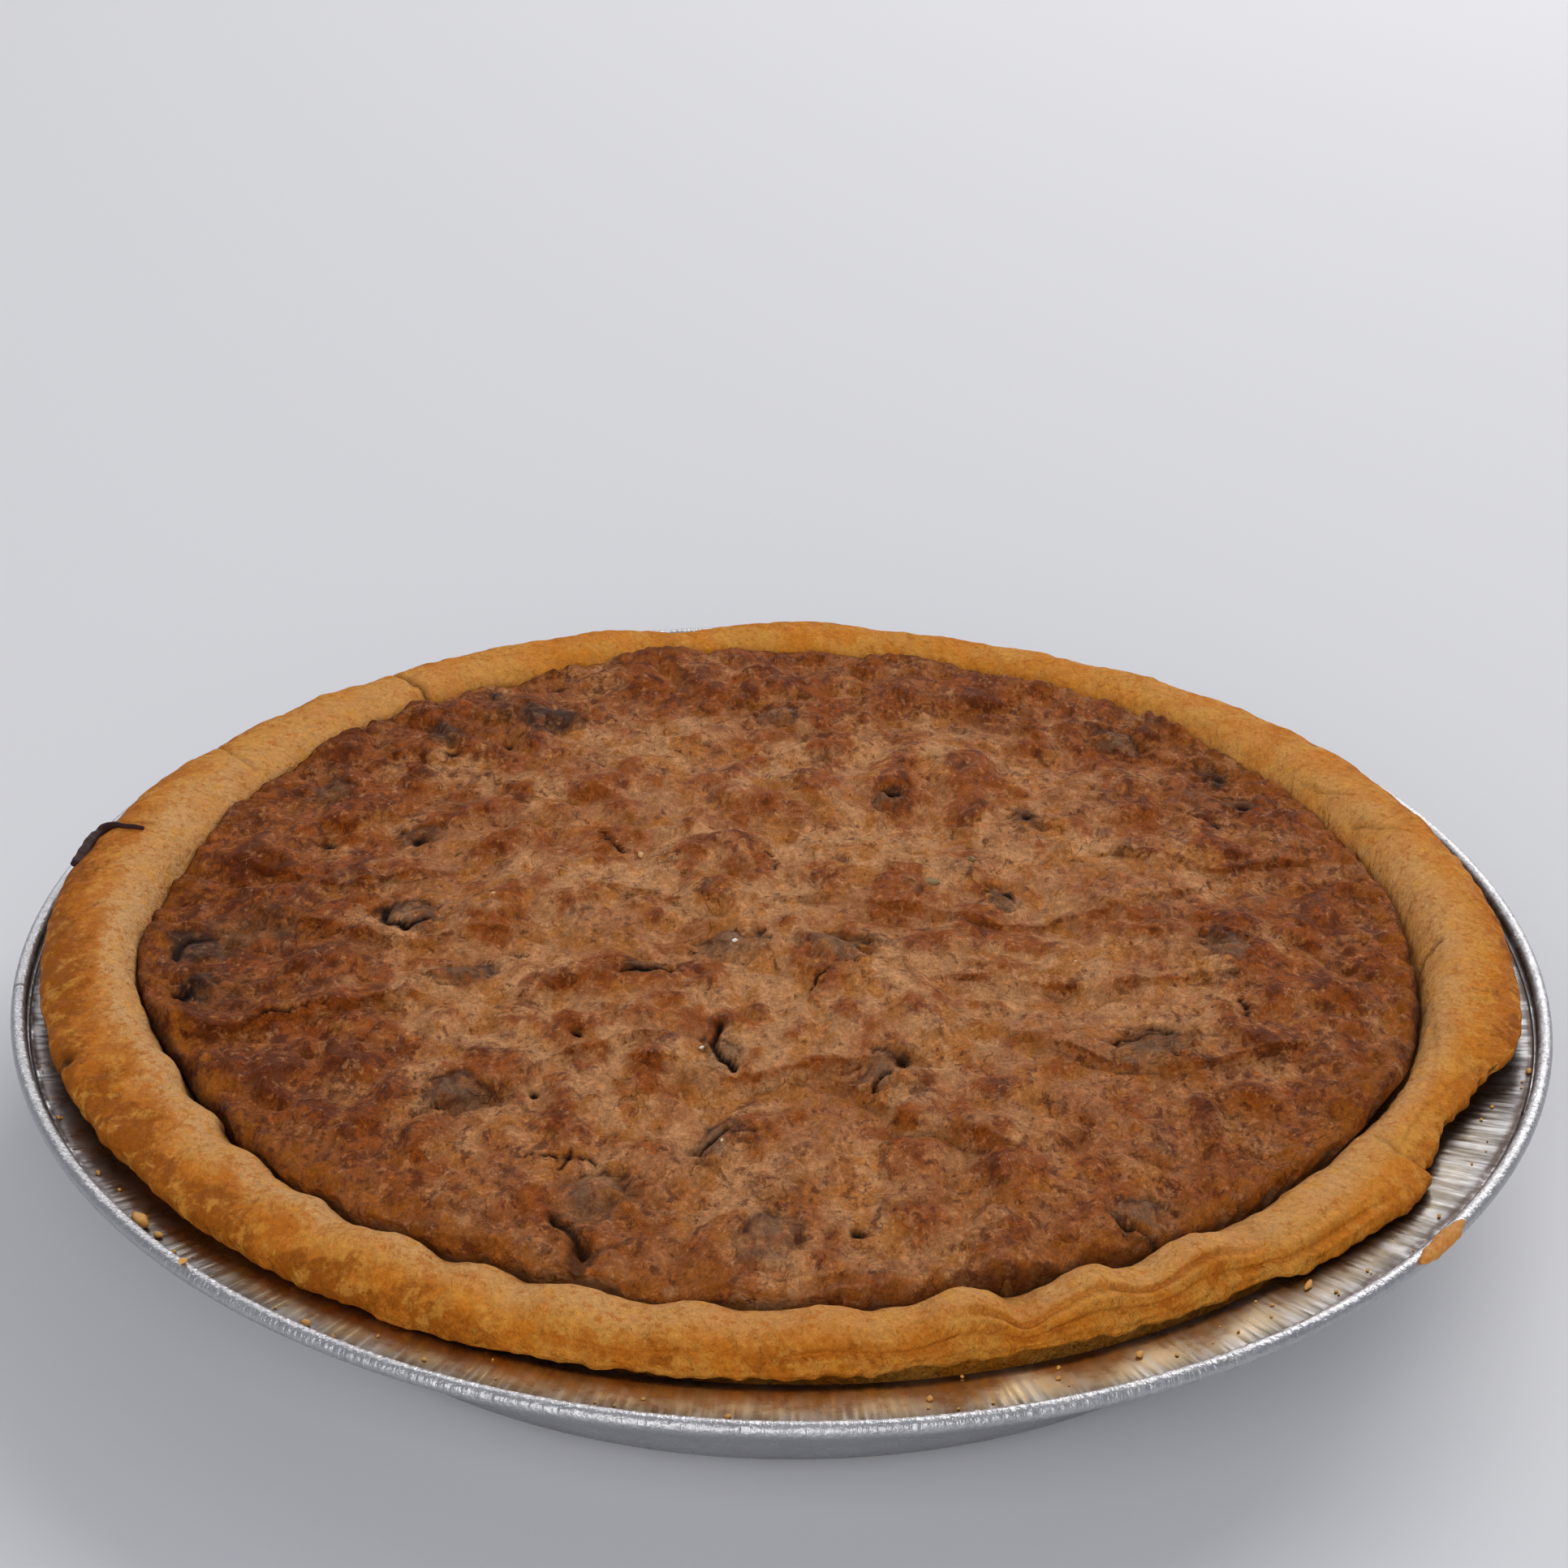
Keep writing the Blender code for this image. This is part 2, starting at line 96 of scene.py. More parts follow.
# Outer edge of the rim: (angle, radius in mm, height in mm).
RIM_EDGE = (
    (5, 116.9, 34), (30, 117.2, 33.6), (55, 115.4, 33), (71, 112.8, 32.5), (85, 114.2, 32.5),
    (94, 114.2, 32.5), (100, 111.4, 32.4), (106, 113.6, 32.5), (118, 113.8, 32.5), (140, 115.8, 33),
    (165, 118, 34), (188, 118, 34), (205, 116.6, 33.4), (217, 114.8, 32.6), (224, 113.9, 31.8),
    (236, 112.2, 30.4), (247, 111, 29.8), (258, 110, 29.5), (270, 109, 29.4), (283, 107.6, 29.3),
    (292, 108, 29.3), (305, 108.7, 29.3), (312, 109.7, 29.5), (318, 110.5, 29.8), (325, 112.2, 30.2),
    (331, 110.5, 30.6), (336, 110.7, 31.2), (341, 113.2, 32.2), (345, 116.6, 33.1), (352, 117.4, 33.7),
)
# Crest of the rim: (angle, radius in mm, height in mm).
RIM_CREST = (
    (0, 108, 38.2), (40, 108, 38.4), (71, 107.4, 37.6), (92, 108, 38), (100, 106.4, 37.5),
    (108, 108, 38), (140, 108.2, 38.4), (180, 109.2, 38.6), (200, 107.6, 36.4), (218, 106.4, 34.4),
    (245, 104.6, 34), (280, 103.4, 33.8), (310, 104.4, 33.6), (335, 105.6, 34), (348, 107, 36.6),
)
# Foot of the rim's inner face: (angle, radius in mm, height in mm).
RIM_FOOT = (
    (0, 101.2, 31.4), (22, 100.6, 33), (60, 100.4, 33.4), (88, 101, 35.2), (110, 101, 35),
    (122, 100.6, 34), (135, 101, 34.8), (155, 101, 34.2), (170, 101.4, 32.6), (187, 103.2, 31.6),
    (203, 100.8, 31), (230, 99.6, 30.8), (270, 98.8, 31), (315, 99.4, 31), (340, 102.2, 31),
)
# Lobes left between the pinches: (angle, half width in degrees, height, bulge inwards in mm).
LOBES = (
    (205.5, 4.5, 0.6, 1), (213.5, 4, 0.6, 1.1), (221, 3.8, 0.7, 0.9), (229.5, 4.2, 0.8, 0.9),
    (238.5, 5, 1, 1.1), (246.5, 3.8, 0.9, 0.7), (254.5, 4.8, 1.3, 0.5), (264, 4.6, 1.4, 0.5),
    (273.5, 4.5, 1.7, 0.4), (284, 4.8, 3, 0.1), (288.6, 2.4, -1.5, -0.2), (294.2, 4.6, 2.8, 0.1),
    (304, 5.2, 2.7, 0.3),
)
UNDERCUT = 2.2 * MM
UNDERCUT_RISE = 3.6 * MM
# (angle, crispness of the lower edge, straightness of the slope above it), both 0 to 1.
EDGE_FORM = (
    (20, 0.2, 0.15), (70, 0.2, 0.1), (180, 0.2, 0), (210, 0.5, 0), (235, 0.8, 0), (300, 1, 0),
    (318, 1, 0.35), (330, 1, 0.55), (348, 0.9, 0.5), (359, 0.4, 0.3),
)
# The front of the rim shows two layers of dough, which come and go over these degrees.
LAYERS_FROM = (236, 262)
LAYERS_TO = (316, 326)
UPPER_FROM = (280, 286)  # degrees over which a second edge comes into the upper layer
UPPER_TO = (303, 309)  # degrees over which it goes
FLAP_FROM = (309.4, 310.8)  # degrees over which the dough flap starts
FLAP_TO = (327.0, 327.7)  # degrees over which it ends
FLAP_WIDTH = 0.8 * MM
FLAP_THICKNESS = 0.7  # mm
FLAP_SLANT = 1.2  # degrees its end leans over from the edge to the crest
BURNT_NOTCH = (202.3, 115.8)  # angle in degrees, radius in mm
NOTCH_WIDTH = 1.5  # mm
# Cracks and wrinkles in the pastry: (points in mm, half width in mm, depth in mm); painted shade darkens
# them, more where they are deeper.
PASTRY_CRACKS = (
    (((-73, 85), (-67.5, 79.5), (-63, 74)), 0.45, 0.9),
    (((80, 55.2), (83.5, 53.5), (86, 49)), 0.4, 0.8),
    (((99.6, -9.2), (101.8, -6.7), (104.6, -4.8)), 0.5, 1.3),
    (((-111.4, 24.6), (-104.5, 22.4)), 0.3, 0.5),
    (((94.1, -62.5), (90.4, -63.3), (88.8, -60.4), (92.7, -53.9), (96.4, -47), (101.5, -40.7),
     (107, -35.2)), 0.45, 0.28),
    (((97.6, -42.6), (99.4, -34), (100.4, -26.4)), 0.6, 0.25),
    (((95, -59.5), (90.8, -58.4), (87.2, -55.6)), 0.4, 0.45),
    (((-92, 46), (-96.5, 50), (-101, 56)), 0.45, 0.4),
    (((97, 34), (101, 31), (106, 30)), 0.45, 0.45),
    (((90, 49), (94, 44.5), (98, 43)), 0.4, 0.4),
)
# Burnt sliver of chocolate up the rim's shoulder:
# (angle, share of the way from the edge to the crest, width in mm).
SLIVER = (
    (173.2, 0.20, 1), (171.6, 0.22, 2.3), (169.9, 0.24, 2.8), (168.4, 0.28, 2.4), (167.9, 0.42, 1.5),
    (168.3, 0.62, 0.9), (168.9, 0.82, 0.7), (169.1, 1.02, 0.5),
)
SLIVER_RISE = 1.1 * MM
# Scrap of dough on the rolled edge: (angle, degrees outwards from its top, width in mm).
SCRAP = ((317.3, 50, 1.0), (318.5, 46, 2.2), (320.1, 42, 2.6), (321.7, 36, 2.3), (322.9, 30, 1.0))
SCRAP_RISE = 0.9 * MM
STRIP_STEPS = 40  # cross sections of the sliver and of the scrap
STRIP_SIDES = 12  # points round each
# How browned the outside of the rim is: (angle, extra share).
BROWNING = (
    (0, 0.1), (60, 0.1), (84, 0.3), (104, 0.35), (109, 0.05), (114, 0.3), (118, 0.05), (124, 0.25),
    (135, 0.1), (150, 0.2), (165, 0.5), (175, 1), (181, 0.9), (187, 1.4), (191, 1.3), (196, 1.1),
    (200, 0.8), (204, 0.7), (207.5, 1.4), (210.5, 1), (214.5, 1.3), (218, 0.8), (221.5, 0.5),
    (225, 1.3), (229, 0.6), (233.5, 1.1), (238, 0.25), (244.5, 0.7), (250, 0.15), (262, 0.25),
    (280, 0.1), (308, 0), (314, -0.3), (322, -0.2), (330, -0.3), (340, -0.2), (348, 0.3), (356, 0.2),
)
# How pale the rim's inner face is: (angle, share).
PALENESS = (
    (0, 0.8), (30, 0.4), (60, 0.1), (90, 0), (115, 0.1), (140, 0.7), (180, 1.2), (230, 1.1), (270, 0.7),
    (290, 0.7), (318, 0.85),
)
# How open the gap between filling and rim is: (angle, 0 to 1); it also sets how much painted shade darkens
# the crevice there.
GAP_OPEN = (
    (10, 0.1), (60, 0.2), (72, 0.4), (100, 0.1), (170, 0.1), (188, 0.3), (203, 0.9), (216, 0.6),
    (226, 0.15), (240, 0.05), (270, 0.1), (287.5, 0.6), (298.5, 0.6), (310, 0.15), (335, 0.25),
    (348, 0.9), (356, 0.5),
)

# --- the cookie filling ---
SKIN_CELLS = 300  # cells across the square that becomes the disc
# Height of the skin just inside its rounded edge: (angle, height in mm).
SKIN_EDGE = (
    (0, 35.6), (40, 36), (90, 36.3), (135, 35.8), (165, 34.6), (185, 33.4), (200, 34), (220, 34.6),
    (270, 34.6), (315, 35), (345, 35.6),
)
CENTRE_HEIGHT = 37.8 * MM
# How far in the edge starts to roll over: (angle, width in mm).
EDGE_ROLL = ((0, 4.6), (60, 5.0), (180, 4.8), (210, 3.8), (240, 2.8), (300, 2.8), (335, 4.0))
EDGE_CRISPNESS = 0.6  # share of that width that the baked skin takes
EDGE_RAGGED = 1.2 * MM  # unevenness of the rounded edge
EDGE_STAND = 0.5  # share of its height that the edge keeps where it meets the rim
LUMPS = ((26, 1.5), (12, 0.9))  # (width, height) in mm
LUMP_OFFSET = Vector((3.1, 7.7, 1.3))
# Puffed humps with creases between them, whose pattern is pushed about by a warp.
PUFF_WIDTH = 13  # mm
PUFF_HEIGHT = 3.0 * MM
PUFF_MEAN = 0.2  # the pattern's mean, so that the skin's height stays
PUFF_OFFSET = Vector((4.0, 4.0, 1.0))
WARP_WIDTH = 8  # mm
WARP = 2.2 * MM
WARP_OFFSETS = ((9.3, 1.5, 7.9), (4.7, 8.2, 2.6), (6.1, 3.4, 5.8))
LUMP_LEAN = 0.5  # how far lumps lean to the front, as a share of their height
# Chips under or through the skin: (x, y, length, width in mm, turn in degrees, how bare).
CHIPS = (
    (-43, 68, 10, 8, 10, 0.8), (-61, 63, 8, 6, 130, 0.7), (-53, 78, 5, 4, 140, 0.9),
    (75, 53.5, 7, 5, 120, 0.8), (78, 42, 6, 5, 30, 0.4), (18.3, 39, 6, 5, 90, 0.3),
    (41, 33, 7, 5, 80, 0.6), (35.6, 8.6, 7, 5, 100, 0.5), (-62, 26, 7, 5, 40, 0.5),
    (-60, -1, 11, 8, 150, 0.35), (-94, -9, 9, 8, 90, 0.7), (-92, -22, 8, 6, 100, 0.95),
    (-7.7, -10.3, 9, 7, 20, 0.1), (8.3, -12.2, 9, 8, 70, 0.1), (-22, -19, 7, 4, 0, 0.4),
    (-50, -19, 8, 6, 30, 0.3), (56, -37.5, 11, 8, 30, 0.25), (-9, -42, 9, 5, 110, 0.2),
    (16, -46, 8, 6, 60, 0.1), (-48, -53, 9, 7, 15, 0.15), (-8, -64, 9, 7, 80, 0.05),
    (-26, -76, 10, 8, 40, 0.1), (-1, -87.4, 9, 7, 95, 0.2), (51, -78, 9, 6, 33, 0.1),
    (60, 66, 8, 6, 140, 0.1), (-1.5, 70, 8, 6, 50, 0.1), (70, -7, 9, 7, 110, 0.05),
    (-78, 42, 8, 6, 120, 0.1),
)
CHIP_RISE = 0.49  # how far a chip lifts the skin, in mm
# Round pits in the skin, darkened with painted shade: (x, y, radius, depth), all in mm.
PITS = (
    (18.3, 39.6, 1.3, 1.6), (41, 34, 1.2, 1.3), (36.5, 9.2, 1.4, 1.4), (-31.1, -36.9, 1.1, 1.6),
    (11.1, -84.4, 1.5, 2), (75.6, 54.2, 1.7, 1.6), (79, 40.9, 1.2, 1.3), (-61.8, 25.9, 1.5, 1.2),
    (-76.7, 24.5, 1.3, 1), (-49.6, 59.5, 1.2, 1.3), (-59, 55.7, 1.3, 1.2), (-42, 83.8, 1.4, 1),
    (-19.5, 62.7, 1.1, 0.9), (18.3, -42, 1.2, 1.5), (-93.5, -23, 2, 1.4), (-42.7, -11.8, 0.7, 0.9),
    (72.9, 33.4, 1.2, 0.8), (-36.4, -51.5, 1, 1),
)
# Open cracks: (points, half width, depth, how dark their painted shade is), in mm and from 0 to 1.
CRACKS = (
    (((-9.7, -34.7), (-10.1, -39.8), (-9.1, -43.1), (-7, -45.6)), 0.75, 1.9, 1),
    (((16.4, -46.6), (14.4, -49.2), (13.9, -51.8)), 0.45, 1.4, 1),
    (((-24.6, -19.9), (-20.8, -18.8), (-17.6, -18.4)), 0.7, 1.3, 1),
    (((-12.9, -66.1), (-10, -63.7), (-7.4, -61.3)), 0.55, 1.3, 1),
    (((-37, -68.7), (-30.2, -68.1), (-26.3, -68.8)), 0.3, 0.7, 1),
    (((-31.4, -70.6), (-29.7, -67)), 0.35, 0.8, 1),
    (((-31.4, -81.4), (-28.4, -85.6), (-26.8, -88.6)), 1, 1.7, 0.9),
    (((-27.3, -88), (-27.3, -92), (-28.1, -97.5)), 1.9, 1.3, 0.6),
    (((-26.4, -91), (-24.4, -89.2), (-20.8, -87.4)), 0.8, 0.7, 0.45),
    (((46.7, -79.2), (50, -80.7), (52.8, -83.4)), 0.6, 1.3, 0.9),
    (((4.5, -23.7), (5.5, -20.8), (7.4, -19.9)), 0.3, 0.8, 1),
    (((50.5, -37.4), (53.8, -34.9), (58.9, -33.1)), 0.5, 1, 1),
    (((71, -23), (71.9, -25.6), (71.5, -28.6)), 0.45, 1, 1),
    (((-96.6, -12.4), (-96.2, -7.5), (-92.5, -4.8)), 0.7, 1.2, 1),
    (((-79.5, -30.4), (-76, -29.9), (-73, -28.8)), 0.5, 1.2, 1),
    (((-41.7, -13.4), (-42.9, -11.6), (-40.6, -12.4)), 0.35, 1, 1),
    (((-64.6, 1.8), (-64.2, -2.4), (-60.4, -4.6), (-57.4, -2.2)), 0.8, 1.2, 1),
    (((-30.6, 25.5), (-28.8, 21), (-26.6, 19.4)), 0.3, 0.7, 1),
    (((-3.4, 19.5), (-1.2, 16.6), (-1.4, 14.2)), 0.3, 0.6, 1),
)
# Folds where one sheet of skin rides over the next: (points in mm, height in mm).
FOLDS = (
    (((-17.5, -46.3), (-6.9, -49.2), (-0.3, -46.8), (9, -44.7)), 1.6),
    (((-94, -34), (-81.9, -34.5), (-78.7, -31.6), (-70.2, -29.6), (-61.7, -27.6)), 1.5),
    (((10.5, -50.9), (19.9, -59.6), (27.7, -62.8)), 1.2),
    (((-49, -56.4), (-38.6, -50.4), (-32, -41.8), (-24.8, -40.1)), 1.1),
    (((39.3, -37), (50.6, -43.4), (60, -44.4), (73.2, -38)), 1.2),
    (((-74, -4), (-62, -10.5), (-48, -7)), 1),
    (((20, 2), (34, -2.6), (52, 1), (64, 8)), 0.9),
    (((-24, 6), (-10, 2), (2, 5)), 0.9),
    (((30, -20), (48, -22), (66, -17)), 0.9),
    (((-84, 14), (-72, 8), (-60, 11)), 0.9),
    (((58, 22), (72, 18), (84, 22)), 0.8),
)
# Olive-dark and grey patches round burst chips: (x, y, length, width in mm, turn, strength).
SMUDGES = (
    (-86, -4, 20, 12, 25, 0.6), (-88, -22, 12, 9, 80, 0.45), (-71, -12, 14, 7, 20, 0.35),
    (-24, -80, 13, 8, 30, 0.5), (-46, -54, 16, 9, 10, 0.35), (72, 44, 14, 10, 120, 0.4),
    (-50, 72, 20, 9, 30, 0.4), (62, -37, 14, 8, 20, 0.25), (50, -80, 10, 7, 30, 0.3),
)
# How golden the filling's bubbled rim is: (angle, share).
GOLDEN_RIM = (
    (0, 0.9), (20, 0.7), (45, 0.4), (90, 0.3), (150, 0.3), (185, 0.8), (200, 1.1), (232, 1), (255, 0.6),
    (285, 0.6), (300, 0.9), (330, 1.1), (345, 1.1),
)
# How browned the filling's outer part is: (angle, share).
OUTER_BROWN = (
    (0, 1.35), (45, 1.15), (90, 1.1), (135, 1.2), (180, 1.9), (215, 1.75), (245, 1.05), (270, 0.75),
    (300, 0.9), (330, 1.2),
)
# How much more evenly the front is baked, and over which distances from the middle that starts.
CALM_FRONT = 0.5
CALM_FROM = (50 * MM, 85 * MM)

# --- scattered bits ---
# Crumbs in the tin: (angle in degrees, radius, length, width, all in mm).
CRUMBS = (
    (220.5, 118.6, 3.4, 2), (222.6, 118.4, 1.5, 1.1), (224.9, 119, 0.9, 0.7), (237.4, 118.2, 1.4, 1.1),
    (227.5, 121.3, 1.3, 1), (213.4, 118, 1, 0.8), (205.4, 118.6, 0.9, 0.7), (267, 117.6, 1, 0.7),
    (280.3, 114.2, 0.9, 0.8), (295.7, 113.2, 1.4, 1), (345.2, 119.2, 1.2, 0.9),
    (310.8, 113.2, 2.2, 0.9),
)
FINE_CRUMBS = 45
FINE_CRUMB_ANGLES = (196, 344)  # degrees
FINE_CRUMB_SIZES = (0.3, 0.75)  # mm
FINE_CRUMB_RADIUS = 118.8  # mm, of the farthest one out
# Bits on the filling: (x, y, length in mm, shade 0 dark olive to 1 white); the white specks are painted
# highlights.
BITS = (
    (24, 10.6, 3.2, 0.15), (-7.7, -10.3, 1, 1), (-8.3, -65, 0.7, 0.8), (-24, 19, 1.6, 0.55),
    (31, 17, 1.4, 0.1), (-47, 2, 1, 0.6), (-12, -40.5, 0.9, 0.9), (46, -14, 0.8, 0.6),
)

# --- colours, as sRGB 0-255 ---
SKIN_TAN = (219, 156, 102)
SKIN_PINK = (195, 128, 78)
SKIN_OCHRE = (196, 120, 46)
SKIN_ORANGE = (164, 80, 16)
SKIN_RED_BROWN = (98, 40, 6)
SKIN_BROWNED = (162, 85, 24)
SKIN_GREY = (142, 106, 78)
SKIN_OLIVE = (94, 66, 38)
SKIN_GOLD = (172, 96, 24)
CHOCOLATE = (58, 28, 20)
BURNT_CHOCOLATE = (40, 18, 20)
# Painted shade in the trench round the chips.
CHIP_RIM_SHADE = (60, 26, 20)
# Dark colour for painted shade in cracks, pits and crevices, and for the char of the pastry's notch.
SHADE_AND_BURN_DARK = (36, 16, 8)
PASTRY_GOLD = (207, 128, 38)
PASTRY_PALE = (209, 143, 60)
PASTRY_LIGHT = (218, 153, 66)
PASTRY_TOAST = (187, 107, 30)
PASTRY_BROWN = (146, 78, 14)
PASTRY_INNER = (210, 160, 106)
CRUMB_GOLD = (230, 186, 110)
BIT_OLIVE = (124, 98, 46)
BIT_TAN = (206, 160, 104)
# White of the specks that are painted highlights.
BIT_HIGHLIGHT_WHITE = (240, 236, 228)
FOIL_BRIGHT = (190, 190, 194)
FOIL_DULL = (168, 168, 172)
# Dark metal colour that paints dimmer reflections on the flange.
FOIL_DIMMED_REFLECTION = (64, 64, 66)
# Brown tint of the metal that paints the crust's reflection on the flange.
FOIL_CRUST_REFLECTION = (206, 180, 138)
# Dark brown of the groove: partly charred sugar, partly painted shade.
FOIL_SHADE_AND_STAIN = (74, 44, 26)
FLOOR_GREY = (218, 219, 224)

# --- stage, lights and the photograph's camera ---
FLOOR_HALF = 4.0
SKY_COLOUR = (0.90, 0.93, 1.0, 1.0)
SKY_STRENGTH = 0.36
# (name, place, size, watts, colour, whether it lights matt surfaces)
LAMPS = (
    ("key", (0.8, 1.4, 1.25), 1.6, 29.0, (1.0, 0.97, 0.93), True),
    ("fill", (-0.3, -1.6, 0.9), 1.6, 20.0, (1.0, 0.98, 0.96), True),
    ("glint", (-0.75, 1.3, 0.9), 0.9, 6.0, (1.0, 0.98, 0.96), False),
)
CAMERA_PLACE = (-0.00039, -0.45626, 0.30095)
CAMERA_PITCH = 27.768  # degrees below the horizon
CAMERA_ROLL = 1.128  # degrees
LENS_MM = 75.0
SENSOR_MM = 36.0


def linear(colour):
    """An sRGB colour as the linear values that shaders take."""
    values = []
    for channel in colour:
        part = channel / 255
        values.append(part / 12.92 if part <= 0.04045 else ((part + 0.055) / 1.055) ** 2.4)
    return (*values, 1.0)


# --- shape helpers ---
def around(stations, angles):
    """Interpolate the stations' values smoothly round the circle at the angles."""
    table = np.array(sorted(stations), float)
    turns = table[:, 0]
    count = len(turns)
    angles = np.asarray(angles, float) % 360.0
    first = (np.searchsorted(turns, angles, side="right") - 1) % count
    before, after, beyond = ((first + step) % count for step in (-1, 1, 2))
    span = (turns[after] - turns[first]) % 360.0
    span_before = (turns[first] - turns[before]) % 360.0
    span_beyond = (turns[beyond] - turns[after]) % 360.0
    t = ((angles - turns[first]) % 360.0) / span
    values = []
    for k in range(1, table.shape[1]):
        p0, p1, p2, p3 = (table[i, k] for i in (before, first, after, beyond))
        slope1 = (p2 - p0) / (span + span_before) * span
        slope2 = (p3 - p1) / (span + span_beyond) * span
        values.append((2 * t ** 3 - 3 * t ** 2 + 1) * p1 + (t ** 3 - 2 * t ** 2 + t) * slope1
                      + (3 * t ** 2 - 2 * t ** 3) * p2 + (t ** 3 - t ** 2) * slope2)
    return values


def smooth(low, high, values):
    """0 below low, 1 above high and a smooth step between."""
    t = np.clip((values - low) / (high - low), 0.0, 1.0)
    return t * t * (3 - 2 * t)


def between(rise, fall, values):
    """A plateau: 0, up to 1 over the rise pair of values, and down again over the fall pair."""
    return smooth(*rise, values) * (1 - smooth(*fall, values))


def hump(values, middle, half_width):
    """A bell from 0 to 1, which is 1 at middle."""
    return np.exp(-((values - middle) / half_width) ** 2)


def polar(angles, radius, height=0.0):
    """Points at angles in degrees, a radius and a height, with x, y and z on the last axis."""
    turn = np.radians(angles)
    return np.stack(np.broadcast_arrays(radius * np.cos(turn), radius * np.sin(turn), height), axis=-1)


def turned(angle, radius, height):
    """The point or direction at a radius and a height, at an angle in degrees."""
    return Vector(polar(angle, radius, height).tolist())


def bumps(points, width, offset=(0, 0, 0)):
    """Smooth noise from about -1 to 1, with bumps about as wide as width, in mm."""
    spots = np.asarray(points) / (width * MM) + np.asarray(offset)
    values = [noise.noise(spot) for spot in spots.reshape(-1, 3).tolist()]
    return np.array(values).reshape(spots.shape[:-1])


def pushed(points, reach, *pushes):
    """Points moved by noise up to reach: along x, y and z in turn by a (width, offset) each.

    Reach is in metres and the widths are in mm.
    """
    moved = np.array(points)
    for axis, (width, offset) in enumerate(pushes):
        moved[..., axis] += reach * bumps(points, width, offset)
    return moved


def from_path(points, path):
    """Distance in mm in the plan from each point to a path, and the same positive on its left."""
    spots = points[..., :2] / MM
    nearest = np.full(spots.shape[:-1], 1e9)
    signed = np.zeros(nearest.shape)
    for start, end in zip(path, path[1:]):
        start, end = np.array(start, float), np.array(end, float)
        along = end - start
        t = np.clip((spots - start) @ along / (along @ along), 0.0, 1.0)
        offset = spots - start - t[..., None] * along
        far = np.linalg.norm(offset, axis=-1)
        cross = along[0] * offset[..., 1] - along[1] * offset[..., 0]
        closer = far < nearest
        nearest = np.where(closer, far, nearest)
        signed = np.where(closer, np.sign(cross) * far, signed)
    return nearest, signed


def grid_faces(rows, columns):
    """Quads of a grid of rows x columns vertices whose columns close round."""
    row, column = np.meshgrid(np.arange(rows - 1), np.arange(columns), indexing="ij")
    nxt = (column + 1) % columns
    corners = (row * columns + column, row * columns + nxt,
               (row + 1) * columns + nxt, (row + 1) * columns + column)
    return np.stack([corner.ravel() for corner in corners], axis=1).tolist()


def grid_normals(grid):
    """Unit normals of a [row, column, xyz] surface whose columns close round."""
    across = np.roll(grid, -1, axis=1) - np.roll(grid, 1, axis=1)
    along = np.gradient(grid, axis=0)
    normals = np.cross(across, along)
    length = np.linalg.norm(normals, axis=2, keepdims=True)
    return normals / np.maximum(length, 1e-12)


def close_sweep(grid, masks):
    """Vertices and faces of a swept outline, closed with a point at each end on the axis.

    The masks are values on the grid, and they come back as values at the vertices.
    """
    rows, columns = grid.shape[:2]
    ends = np.array([[0, 0, grid[0, :, 2].mean()], [0, 0, grid[-1, :, 2].mean()]])
    verts = np.concatenate([grid.reshape(-1, 3), ends])
    faces = grid_faces(rows, columns)
    low, high = len(verts) - 2, len(verts) - 1
    top_row = (rows - 1) * columns
    for column in range(columns):
        nxt = (column + 1) % columns
        faces.append((low, nxt, column))
        faces.append((high, top_row + column, top_row + nxt))
    attributes = {}
    for key, values in masks.items():
        parts = values.shape[2:]
        values = np.broadcast_to(values, (rows, columns, *parts)).reshape(-1, *parts)
        attributes[key] = np.concatenate([values, np.zeros((2, *parts))])
    return verts, faces, attributes


def add_object(name, data):
    """A new object in the scene."""
    obj = bpy.data.objects.new(name, data)
    bpy.context.scene.collection.objects.link(obj)
    return obj


def make_object(name, verts, faces, material, attributes=()):
    """A smooth mesh piece on the part's only body, with float or vector values at its vertices."""
    mesh = bpy.data.meshes.new(name)
    mesh.from_pydata(np.asarray(verts).tolist(), [], faces)
    for key, values in dict(attributes).items():
        values = np.asarray(values, dtype=np.float32)
        is_vector = values.ndim == 2
        layer = mesh.attributes.new(key, "FLOAT_VECTOR" if is_vector else "FLOAT", "POINT")
        layer.data.foreach_set("vector" if is_vector else "value", values.ravel())
    mesh.shade_smooth()
    mesh.materials.append(material)
    obj = add_object(name, mesh)
    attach(obj, "root")
    return obj


